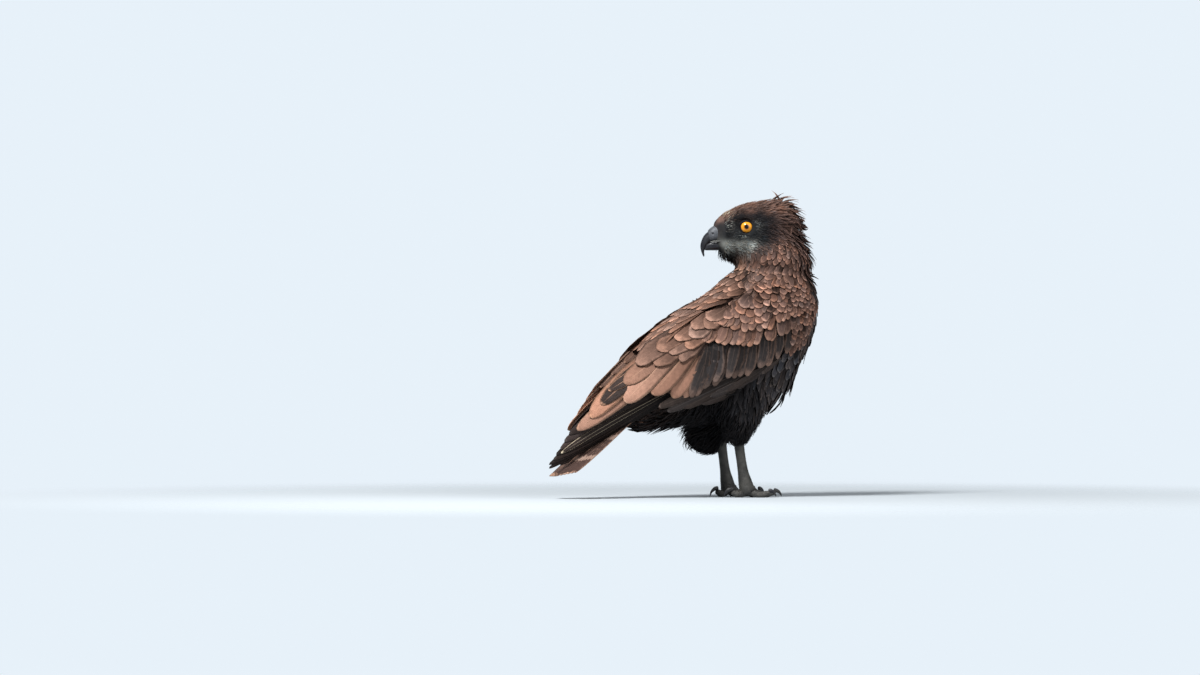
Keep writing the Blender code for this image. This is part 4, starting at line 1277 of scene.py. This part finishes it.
FOOT_APART, TOE_OUT = 33 * MM, radians(9)
SHANK = [
    (-17, 0, 118, 7, 7), (-15, 0, 98, 8, 7.2), (-13, 0, 78, 7.8, 6.8), (-10, 0, 58, 7.6, 6.6),
    (-7, 0, 40, 8.4, 7.4), (-4, 0, 26, 10.5, 9.5), (-1, 0, 14, 12, 10.5),
]
ANKLE = [(0, 0, 22, 11, 10), (0, 0, 14, 13, 12), (2, 0, 5, 12, 11)]
TOES = {  # turn in degrees, length and a factor on the thickness
    "middle": (2, 47, 1.0), "inner": (38, 34, 1.0), "outer": (-36, 38, 0.92), "hallux": (176, 25, 1.05),
}
CLAW_CURVES = {"middle": 11, "inner": 14, "outer": 11, "hallux": 14}  # radii of the claws' arcs
PLATE_LENGTH = 4.5  # of the plates along a toe


def foot_frame(side):
    """A foot's own axes: ahead, towards the other foot, and up."""
    place = Matrix.Translation(FEET + Vector((0, side * FOOT_APART, 0)))
    return place @ Matrix.Rotation(TOE_OUT * side, 4, "Z") @ Matrix.Diagonal((1, -side, 1, 1))


def scales(columns, rows, depth):
    """Relief of small round scales in bricked rows."""

    def relief(share, side, up):
        turn = np.arctan2(up, side) / (2 * pi) * columns
        row = share * rows
        turn = turn + 0.5 * (np.floor(row) % 2)
        off = np.hypot(turn % 1 - 0.5, row % 1 - 0.5) * 2
        return 1 + depth * (0.6 - np.minimum(off, 1.3) ** 2)

    return relief


def toe_relief(plates):
    """Plates across the top of a toe and three pads along its underside."""

    def relief(share, side, up):
        plate = np.abs(np.sin(pi * plates * share)) ** 0.6
        return 1 + 0.07 * np.cos(6 * pi * share) + 0.07 * (plate - 0.6) * np.clip(side, 0, 1)

    return relief


def toe_stations(length, factor):
    radius = 5.3 * factor
    sole = radius - 0.9
    return [
        (0, 0, sole + 5, radius + 1.6, radius + 1.4),
        (length * 0.25, 0, sole + 3, radius + 0.4, radius + 0.6),
        (length * 0.5, 0, sole, radius, radius),
        (length * 0.75, 0, sole + 1, radius - 0.4, radius - 0.2),
        (length, 0, sole + 4.5, radius - 1.1, radius - 1),
    ]


def claw_stations(length, curve):
    """A talon: an arc from inside the toe's last joint, forwards and down to its point above the floor."""
    share = np.linspace(0, 1, 9)
    first, last = radians(8), radians(-82)
    heading = first + (last - first) * share
    thick = 3.6 * (1 - share) ** 0.75 + 0.3
    fore = length - 3 + curve * (sin(first) - np.sin(heading))
    height = 1.2 + curve * (np.cos(heading) - cos(last))
    return np.stack([fore, 0 * share, height, thick, thick * 0.8], 1)


def above_floor(mesh):
    """Presses a foot's soles flat on the floor."""
    for vertex in mesh.vertices:
        vertex.co.z = max(vertex.co.z, 0)
    return mesh


# Finishes -------------------------------------------------------------


def feather_paint(name, fringe, tip, shaft, barbs, bars=(), bar_colour=None, roughness=0.62, wear=0.3):
    """Feathers with dark middles and paler rims, a pale shaft, barbs and, on the tail, bars across, and
    painted shade that darkens each feather towards its root, where the feather above overlaps it.
    """
    paint = Paint(name, roughness=roughness, specular_ior_level=0.06)
    across, along = paint.vane()
    off = abs(across)
    mottle = paint.noise(170.0, 3.0)
    worn = (mottle - 0.5) * wear
    edge = (off + worn).above(*fringe).most((along + worn * 0.5).above(*tip))
    colour = paint.mix(edge, paint.attribute("middle"), paint.attribute("rim"))
    for spot, width in bars:
        band = 1 - abs(along - spot + (mottle - 0.5) * 0.05).above(width * 0.6, width)
        colour = paint.mix(band * off.above(0.1, 0.6) * 0.7, colour, rgba(bar_colour))
    # Painted shade: each feather is darker towards its root, where the next feather lies over it.
    depth = along.above(0.2, 0.95) * 0.68 + 0.32
    shading = depth * (mottle * 0.8 + 0.68)
    lines = ((along * barbs - off * (barbs * 0.3)) * (2 * pi)).sine()
    height = mottle + lines * 0.35
    shading = shading * (lines * 0.07 + 0.93)
    colour = paint.scaled(colour, shading)
    line = (1 - off.above(0.03, 0.09)) * (1 - along.above(0.85, 1.0))
    colour = paint.mix(line * shaft, colour, paint.attribute("rim"))
    return paint.finish(colour, height + line * 2, 0.35, 0.4 * MM)


def skin_paint():
    """Dull skin, coloured as the feathers over it."""
    paint = Paint("skin", roughness=0.8, specular_ior_level=0.15)
    grain = paint.noise(260.0, 4.0)
    return paint.finish(paint.scaled(paint.attribute("middle"), grain * 0.5 + 0.35), grain, 0.5, 0.5 * MM)


def leg_paint(colour):
    """Grey skin with darker seams between small scales, stained in patches."""
    paint = Paint("leg skin", roughness=0.55)
    values = {"Vector": paint.place(), "Scale": 420.0}
    cells = paint.node("TexVoronoi", {"feature": "DISTANCE_TO_EDGE"}, values)
    seam = cells.above(0.0, 0.16)
    stain = paint.noise(75.0, 4.0).above(0.38, 0.62)
    base = paint.mix(stain, rgba(colour, 0.42), rgba(colour))
    return paint.finish(paint.scaled(base, seam * 0.5 + 0.5), seam, 0.6, 0.5 * MM)


def horn_paint(name, colour, base_colour):
    """Black horn, greyer and duller towards its base."""
    paint = Paint(name, specular_ior_level=0.35)
    grain = paint.noise(120.0, 4.0)
    colour = paint.mix(grain.above(0.35, 0.75), rgba(colour), base_colour)
    paint.plug(grain * 0.3 + 0.22, paint.surface.inputs["Roughness"])
    return paint.finish(colour, grain, 0.12, 0.3 * MM)


def cere_paint(colour):
    """Bare skin of the bill's base, lighter and darker in fine patches."""
    paint = Paint("cere", roughness=0.55, specular_ior_level=0.3)
    grain = paint.noise(190.0, 4.0)
    return paint.finish(paint.scaled(rgba(colour), grain * 1.9 + 0.1), grain, 0.3, 0.3 * MM)


EYE_RING, PUPIL = (0.006, 0.006, 0.008, 1), (0.002, 0.002, 0.002, 1)


def eye_paint(colour, iris, pupil):
    """A wet eye: black pupil, orange-yellow iris with fine rays and a dark outer ring."""
    paint = Paint("eye", roughness=0.3, specular_ior_level=0.25, coat_weight=0.4, coat_roughness=0.03)
    spot = paint.uv("disc")
    radius = paint.length(spot)
    rays = paint.noise(22.0, 3.0, spot)
    dark = [c * s for c, s in zip(colour, (0.42, 0.26, 0.2))]
    base = paint.mix(rays.above(0.3, 0.7), rgba(colour), rgba(colour, 1.25))
    inner = 1 - (radius + (rays - 0.5) * 0.06).above(pupil * 1.05, pupil * 1.7)
    base = paint.mix(inner * 0.75, base, rgba(dark))
    base = paint.mix(radius.above(iris * 0.88, iris * 0.99), base, rgba(dark, 0.25))
    base = paint.mix(radius.above(iris * 0.99, iris * 1.02), base, EYE_RING)
    base = paint.mix(1 - radius.above(pupil * 0.96, pupil * 1.04), base, PUPIL)
    return paint.finish(base)


# What the operators share ---------------------------------------------

WORK = {}  # the skin, its map, the guides and the plumage's two finishes, which later operators read
SKIN_DARKENING, RUFFLED_COVERT_MIDDLE, RUFFLED_COVERT_RIM = 0.8, 0.25, 0.5  # per the usual colours


def colours():
    return bpy.context.scene.eagle_colours


def sizes():
    return bpy.context.scene.eagle_sizes


def dice(offset):
    return np.random.default_rng(sizes().seed * 100 + offset)


def coat_piece(coat, material, slot, *nodes):
    add_object(coat.name, coat.mesh(), material, slot, *nodes)


def plumage(kind):
    """One of the contour feathers' two finishes, which are made once."""
    if "plumage" not in WORK:
        WORK["plumage"] = feather_paint("plumage", (0.5, 1.0), (0.82, 1.0), 0.15, 12.0)
        WORK["coverts"] = feather_paint("covert feathers", (0.5, 0.98), (0.76, 0.97), 0.15, 26.0)
    return WORK[kind]


def vanes(random):
    return {outline: Vane(outline, random) for outline in OUTLINES}


# Operators ------------------------------------------------------------


class EAGLE_OT_skin(bpy.types.Operator):
    """One skin over the body's flesh, with bare lids round the eyes"""

    bl_idname = "eagle.skin"
    bl_label = "Skin"

    def execute(self, context):
        guides = joined_guides(colours())
        body = make_skin(sizes())
        lids = [lid_mesh(side) for side in SIDES.values()]
        bare = sum(len(lid.vertices) for lid in lids)
        mesh = merged("skin", [body, *lids])
        points = np.array([vertex.co for vertex in mesh.vertices])
        middles = blended(points, guides)[3] * SKIN_DARKENING
        middles[len(points) - bare :] = colours().brow[:]
        colour_points(mesh, "middle", middles)
        skin = add_object("skin", mesh, skin_paint(), "plumage", *FLESH)
        context.view_layer.objects.active = skin
        mesh.uv_layers.new(name="OFBake")
        bpy.ops.object.mode_set(mode="EDIT")
        bpy.ops.mesh.select_all(action="SELECT")
        bpy.ops.uv.smart_project(angle_limit=radians(60), island_margin=0.004)
        bpy.ops.object.mode_set(mode="OBJECT")
        WORK.update(skin=skin, ground=Ground(skin), guides=guides)
        return {"FINISHED"}


CONTOUR_PIECES = {  # the nodes of flesh that each piece's feathers grow on, and its finish
    "head_feathers": (("head",), "plumage"),
    "neck_feathers": (("neck",), "coverts"),
    "body_feathers": (("trunk", "wing_left", "wing_right"), "plumage"),
    "thigh_feathers": (("thigh_left", "thigh_right"), "plumage"),
}
ROOT_MARGIN, VANE_MARGIN, BARE_MARGIN = 1.2 * MM, 0.7 * MM, 1.5 * MM  # kept round the eyes, bill and shanks
OFF_WING, OFF_WING_ALONG = 6.5 * MM, 60 * MM  # places this far off the coverts' surface, near the bend
BEND_END, SHOULDER_TOP, SHOULDER_END = 6 * MM, 74 * MM, 110 * MM  # other places of the wing without coverts
MANTLE_START, MANTLE_END, MANTLE_DEPTH = -16 * MM, -215 * MM, 45 * MM  # what the mantle's feathers cover


class EAGLE_OT_body_feathers(bpy.types.Operator):
    """Contour feathers over the head, neck, body and thighs"""

    bl_idname = "eagle.body_feathers"
    bl_label = "Body feathers"

    def execute(self, context):
        random = dice(1)
        trees = [tree_of(name) for name in FLESH]
        others = tree_of("cere", "bill_upper", "bill_lower", "shank_left", "shank_right")
        face = HEAD.inverted()

        def nearest(points):
            """Which of the flesh nodes is nearest to each point."""
            gaps = [[tree.find_nearest(Vector(point))[3] for tree in trees] for point in points]
            return np.array(gaps).argmin(1)

        def on_eye(points, margin):
            """Which points lie over an eye, or by less than the margin outside it."""
            at = moved(points, face)
            radius = np.hypot(at[:, 0] - EYE.x, at[:, 2] - EYE.z)
            return (radius < LID_RADIUS + margin) & (np.abs(at[:, 1]) > SIDE_OF_HEAD)

        def wanted(points):
            """Which points have body feathers: not the eyes, the bill, nor what coverts or mantle cover."""
            covered = np.array([others.find_nearest(Vector(point))[3] for point in points]) < BARE_MARGIN
            on_wing = np.array([FLESH[i].startswith("wing") for i in nearest(points)])
            for side in SIDES.values():
                along, above = on_chord(points, side)
                gap = np.linalg.norm(wing_point(side, along, above, True) - points, axis=1)
                bare = ((gap > OFF_WING) & (along < OFF_WING_ALONG)) | (along < BEND_END)
                bare |= (above > SHOULDER_TOP) & (along < SHOULDER_END)
                on_wing &= ~(bare & (points[:, 1] * side > 0))
            x, _, z = (points - np.array(FEET)).T
            top = np.interp(-x, [-row[0] * MM for row in BACK], [row[1] * MM for row in BACK])
            under_mantle = (x < MANTLE_START) & (x > MANTLE_END) & (z > top - MANTLE_DEPTH)
            return ~(on_eye(points, ROOT_MARGIN) | covered | on_wing | under_mantle)

        def reject(spots):
            """Which feathers would cross an eye."""
            return on_eye(spots.reshape(-1, 3), VANE_MARGIN).reshape(spots.shape[:2]).any(1)

        roots = scattered(WORK["skin"].data, WORK["guides"], random, wanted)
        places = nearest(roots)
        kinds = vanes(random)
        for piece, (nodes, kind) in CONTOUR_PIECES.items():
            coat = Coat(piece)
            chosen = roots[np.isin(places, [FLESH.index(node) for node in nodes])]
            grow(coat, kinds, chosen, random, reject)
            coat_piece(coat, plumage(kind), "plumage")
        return {"FINISHED"}


class EAGLE_OT_wing_coverts(bpy.types.Operator):
    """Small, middle and great coverts and the scapulars, over both folded wings"""

    bl_idname = "eagle.wing_coverts"
    bl_label = "Wing coverts"

    def execute(self, context):
        kit = colours()
        for name, side in SIDES.items():
            random = dice(2 + side)
            round_vane = Vane("round", random)
            coat = Coat(f"coverts_{name}")
            small = coloured(lesser_rows(random), kit.mantle, kit.neck_rim)
            ruffled = random.random(len(small)) < RUFFLED_SHARE
            small[ruffled, 7:10] *= RUFFLED_COVERT_MIDDLE
            small[ruffled, 10:13] *= RUFFLED_COVERT_RIM
            great, *others = (spread_row(*row, random) for row in COVERT_ROWS)
            table = np.concatenate([
                small,
                coloured(great, kit.covert, kit.covert_rim),
                *(coloured(rows, kit.mantle, kit.mantle_rim) for rows in others),
                coloured(SCAPULARS[::-1], kit.scapular, kit.mantle_rim),
            ])
            lay(coat, round_vane, on_wing(side, True), side, table, random)
            coat_piece(coat, plumage("coverts"), "plumage")
        return {"FINISHED"}


class EAGLE_OT_mantle(bpy.types.Operator):
    """Feathers of the upper back, which close the slot between the folded wings"""

    bl_idname = "eagle.mantle"
    bl_label = "Mantle"

    def execute(self, context):
        random = dice(9)
        coat = Coat("mantle_feathers")
        kit = colours()
        edges = [
            (a, b * side, c * -side, *rest, BACK_EDGE_RISES[side])
            for a, b, c, *rest in BACK_EDGES[::-1] for side in SIDES.values()
        ]
        table = coloured(edges + back_rows(random), kit.scapular, kit.mantle_rim)
        lay(coat, Vane("round", random), back_point, -1, table, random, tilt=0)
        coat_piece(coat, plumage("coverts"), "plumage")
        return {"FINISHED"}


class EAGLE_OT_flight_feathers(bpy.types.Operator):
    """Tertials, secondaries' edges and primaries of both folded wings"""

    bl_idname = "eagle.flight_feathers"
    bl_label = "Flight feathers"

    def execute(self, context):
        paint = feather_paint(
            "flight feathers", (0.8, 0.98), (0.965, 1.0), shaft=0.4, barbs=70.0, roughness=0.5, wear=0.1
        )
        kit = colours()
        for name, side in SIDES.items():
            random = dice(5 + side)
            quill = Vane("quill", random)
            coat = Coat(f"flight_{name}")
            primaries = coloured(PRIMARIES, kit.primary, kit.covert)
            depth = PRIMARY_DEPTH + PRIMARY_STEP * np.arange(len(primaries))
            primaries[:, 5] += depth
            primaries[:, 6] -= depth
            edges = coloured(spread_row(*EDGE_ROW, random), kit.covert, kit.breast_rim)
            tertials = coloured(TERTIALS, kit.tertial, kit.flight_rim)
            tertials[:, 0] += TERTIAL_SHIFTS[side]
            # Painted shade: the shaded tertials take the primaries' near-black as their middles.
            tertials[SHADED_TERTIALS[side], 7:10] = kit.primary[:]
            primaries = np.concatenate([primaries, coloured(EDGED_PRIMARY, kit.primary, kit.streak)])
            inner = coloured(INNER_TERTIALS, kit.scapular, kit.flight_rim)
            count = len(edges) + len(tertials) + len(primaries) + len(inner)
            lay(coat, quill, on_wing(side, False), side, primaries, random, count)
            for table in (edges, tertials):
                lay(coat, quill, on_wing(side, True), side, table, random, count)
            if side == SIDES["left"]:
                lay(coat, quill, inner_point, -1, inner, random, count, tilt=0)
            coat_piece(coat, paint, "flight_feathers", f"secondaries_{name}", f"primaries_{name}")
        return {"FINISHED"}


class EAGLE_OT_tail(bpy.types.Operator):
    """Twelve tail feathers with pale bars and tips"""

    bl_idname = "eagle.tail"
    bl_label = "Tail"

    def execute(self, context):
        random = dice(11)
        quill = Vane("quill", random)
        coat = Coat("tail_feathers")
        count = 2 * len(TAIL_PAIRS)
        for pair in TAIL_PAIRS[::-1]:
            for side in SIDES.values():
                widths = quill.widths[random.integers(len(quill.widths))]
                points = tail_feather(quill, widths, pair, side)[None]
                tone, kit = random.normal(1, TAIL_TONES), colours()
                middle, rim = (np.array([colour[:]]) * tone for colour in (kit.tail, kit.flight_rim))
                coat.add_strips(quill, points, count, middle, rim)
        paint = feather_paint(
            "tail feathers", (0.8, 1.0), (0.97, 1.0), shaft=0.5, barbs=80.0, roughness=0.5,
            bars=TAIL_BARS, bar_colour=colours().tail_bar,
        )
        coat_piece(coat, paint, "tail_feathers", "tail")
        return {"FINISHED"}


class EAGLE_OT_eyes(bpy.types.Operator):
    """Both eyes"""

    bl_idname = "eagle.eyes"
    bl_label = "Eyes"

    def execute(self, context):
        iris, pupil = sizes().iris_radius / EYE_RADIUS, sizes().pupil_radius / EYE_RADIUS
        paint = eye_paint(colours().iris, iris, pupil)
        for name, side in SIDES.items():
            add_object(f"eyeball_{name}", eye_mesh(side), paint, "eye", f"eye_{name}")
        return {"FINISHED"}


class EAGLE_OT_bill(bpy.types.Operator):
    """Cere, upper and lower bill"""

    bl_idname = "eagle.bill"
    bl_label = "Bill"

    def execute(self, context):
        skin = cere_paint(colours().cere)
        horn = horn_paint("bill horn", colours().horn, rgba(colours().cere, 0.35))
        cere = profile_mesh("cere", CERE_STATIONS, 64, 40, (0.1, 0.12), 2.3, nostril_dent)
        gapes = []
        for side in SIDES.values():
            line = [(x, y * side, z, a, b) for x, y, z, a, b in GAPE]
            gapes.append(tube_mesh("gape", line, HEAD, 12, 40, (0.1, 0.1), flat=(0, 0, 1)))
        add_object("cere_skin", cere, skin, "cere", "cere")
        add_object("gape", merged("gape", gapes), cere_paint(colours().gape), "cere")
        upper = profile_mesh("upper_bill", UPPER_BILL, 40, 56, (0.05, 0.06), 1.9)
        add_object("upper_bill", upper, horn, "horn", "bill_upper")
        lower = profile_mesh("lower_bill", LOWER_BILL, 32, 32, (0.1, 0.16), 2.2)
        add_object("lower_bill", lower, horn, "horn", "bill_lower")
        return {"FINISHED"}


class EAGLE_OT_legs(bpy.types.Operator):
    """Bare scaly shanks and toes, and the claws"""

    bl_idname = "eagle.legs"
    bl_label = "Legs"

    def execute(self, context):
        skin = leg_paint(colours().bare)
        horn = horn_paint("claw horn", colours().horn, rgba(colours().bare, 0.4))
        for name, side in SIDES.items():
            place = foot_frame(side)
            parts = [
                tube_mesh("shank", SHANK, place, 40, 110, (0.1, 0.06), relief=scales(9, 34, 0.055)),
                tube_mesh("ankle", ANKLE, place, 40, 28, (0.4, 0.4), relief=scales(12, 9, 0.045)),
            ]
            claws = []
            for toe, (turn, length, factor) in TOES.items():
                heading = place @ Matrix.Rotation(radians(turn), 4, "Z")
                plates = round(length / PLATE_LENGTH)
                parts.append(tube_mesh(
                    toe, toe_stations(length, factor), heading, 32, 8 * plates, (0.12, 0.14), (0, 0, 1),
                    toe_relief(plates),
                ))
                stations = claw_stations(length, CLAW_CURVES[toe])
                claws.append(tube_mesh(f"claw {toe}", stations, heading, 20, 28, (0.1, 0.02), (0, 0, 1)))
            leg = above_floor(merged(f"leg_skin_{name}", parts))
            add_object(leg.name, leg, skin, "bare_skin", f"shank_{name}", f"foot_{name}")
            claw = above_floor(merged(f"claws_{name}", claws))
            add_object(claw.name, claw, horn, "horn", *(f"claw_{name}_{toe}" for toe in TOES))
        return {"FINISHED"}


CAMERA_AIM = (-0.2167, 0.2504)  # to the camera's right of the feet, and up
VIEW_WIDTH = 1.884  # of the picture, at the bird
FLOOR_RADIUS, FLOOR_FADE, FLOOR_COLOUR = 2.2, (0.35, 1.3), (0.42, 0.455, 0.48, 1)
SKY_LIGHT, SKY_SEEN = (0.86, 0.92, 1.0, 1), (0.80, 0.88, 0.95, 1)


class EAGLE_OT_stage(bpy.types.Operator):
    """Camera, soft studio lights, pale surroundings and a plain floor"""

    bl_idname = "eagle.stage"
    bl_label = "Stage"

    def execute(self, context):
        stage = context.scene.eagle_stage
        azimuth = stage.azimuth
        back = Vector((sin(azimuth), -cos(azimuth), 0))
        right = Vector((cos(azimuth), sin(azimuth), 0))
        up = Vector((0, 0, 1))
        aim = FEET + right * CAMERA_AIM[0] + up * CAMERA_AIM[1]
        camera = bpy.data.cameras.new("camera")
        camera.lens, camera.sensor_width = stage.lens, 36
        place = aim + back * VIEW_WIDTH * stage.lens / camera.sensor_width
        context.scene.camera = self.aimed(context, camera, place, back)
        context.scene.view_settings.view_transform = "Standard"
        middle = FEET + up * 0.25 - right * 0.1
        self.light(context, "key", middle, back * 0.8 - right * 0.5 + up * 1.15, 2.6, 0.7, stage.key)
        self.light(context, "fill", middle, back * 1.0 + right * 1.1 + up * 0.6, 3.0, 2.4, stage.fill)
        self.light(context, "rim", middle, -back * 1.0 - right * 0.2 + up * 1.0, 2.8, 1.4, stage.fill * 0.2)
        self.surroundings(context, stage.air)
        self.floor(context)
        return {"FINISHED"}

    def aimed(self, context, data, place, back):
        """A camera or a light at a place, looking the other way than back."""
        holder = bpy.data.objects.new(data.name, data)
        context.scene.collection.objects.link(holder)
        holder.location = place
        holder.rotation_euler = (-back).to_track_quat("-Z", "Y").to_euler()
        return holder

    def light(self, context, name, middle, way, distance, size, power):
        lamp = bpy.data.lights.new(name, "AREA")
        lamp.energy, lamp.size = power, size
        self.aimed(context, lamp, middle + way.normalized() * distance, way)

    def surroundings(self, context, strength):
        world = bpy.data.worlds.new("surroundings")
        world.use_nodes = True
        context.scene.world = world
        tree = world.node_tree
        sky, seen = tree.nodes["Background"], tree.nodes.new("ShaderNodeBackground")
        for node, colour, power in ((sky, SKY_LIGHT, strength), (seen, SKY_SEEN, 1.0)):
            node.inputs["Color"].default_value = colour
            node.inputs["Strength"].default_value = power
        path = tree.nodes.new("ShaderNodeLightPath")
        mix = tree.nodes.new("ShaderNodeMixShader")
        tree.links.new(path.outputs["Is Camera Ray"], mix.inputs[0])
        tree.links.new(sky.outputs[0], mix.inputs[1])
        tree.links.new(seen.outputs[0], mix.inputs[2])
        tree.links.new(mix.outputs[0], tree.nodes["World Output"].inputs["Surface"])

    def floor(self, context):
        """A plain floor that fades into the surroundings."""
        shape = bmesh.new()
        bmesh.ops.create_circle(shape, cap_ends=True, segments=96, radius=FLOOR_RADIUS)
        mesh = as_mesh("floor", shape)
        paint = Paint("floor", roughness=1.0, specular_ior_level=0.0)
        radius = paint.length(paint.place())
        paint.finish(FLOOR_COLOUR)
        clear = paint.node("BsdfTransparent", {}, {})
        faded = paint.node("MixShader", {}, {0: radius.above(*FLOOR_FADE)})
        mixer = faded.socket.node
        paint.tree.links.new(paint.surface.outputs[0], mixer.inputs[1])
        paint.tree.links.new(clear.socket, mixer.inputs[2])
        paint.plug(faded, paint.tree.nodes["Material Output"].inputs["Surface"])
        floor = bpy.data.objects.new("floor", mesh)
        mesh.materials.append(paint.material)
        context.scene.collection.objects.link(floor)


OPERATORS = (
    EAGLE_OT_skin, EAGLE_OT_body_feathers, EAGLE_OT_wing_coverts, EAGLE_OT_mantle, EAGLE_OT_flight_feathers,
    EAGLE_OT_tail, EAGLE_OT_eyes, EAGLE_OT_bill, EAGLE_OT_legs, EAGLE_OT_stage,
)


class EAGLE_PT_panel(bpy.types.Panel):
    """The eagle's colours, sizes and pieces"""

    bl_idname = "EAGLE_PT_panel"
    bl_label = "Brown snake eagle"
    bl_space_type = "VIEW_3D"
    bl_region_type = "UI"
    bl_category = "Eagle"

    def draw(self, context):
        layout = self.layout
        for group in (context.scene.eagle_colours, context.scene.eagle_sizes, context.scene.eagle_stage):
            box = layout.box()
            for name in group.bl_rna.properties.keys():
                if name not in ("rna_type", "name"):
                    box.prop(group, name)
        for operator in OPERATORS:
            layout.operator(operator.bl_idname)


CLASSES = (EagleColours, EagleSizes, EagleStage, *OPERATORS, EAGLE_PT_panel)


def register():
    for cls in CLASSES:
        bpy.utils.register_class(cls)
    bpy.types.Scene.eagle_colours = PointerProperty(type=EagleColours)
    bpy.types.Scene.eagle_sizes = PointerProperty(type=EagleSizes)
    bpy.types.Scene.eagle_stage = PointerProperty(type=EagleStage)


def unregister():
    del bpy.types.Scene.eagle_stage, bpy.types.Scene.eagle_sizes, bpy.types.Scene.eagle_colours
    for cls in reversed(CLASSES):
        bpy.utils.unregister_class(cls)


def main():
    register()
    bpy.ops.eagle.skin()
    bpy.ops.eagle.body_feathers()
    bpy.ops.eagle.wing_coverts()
    bpy.ops.eagle.mantle()
    bpy.ops.eagle.flight_feathers()
    bpy.ops.eagle.tail()
    bpy.ops.eagle.eyes()
    bpy.ops.eagle.bill()
    bpy.ops.eagle.legs()
    bpy.ops.eagle.stage()


if __name__ == "__main__":
    main()
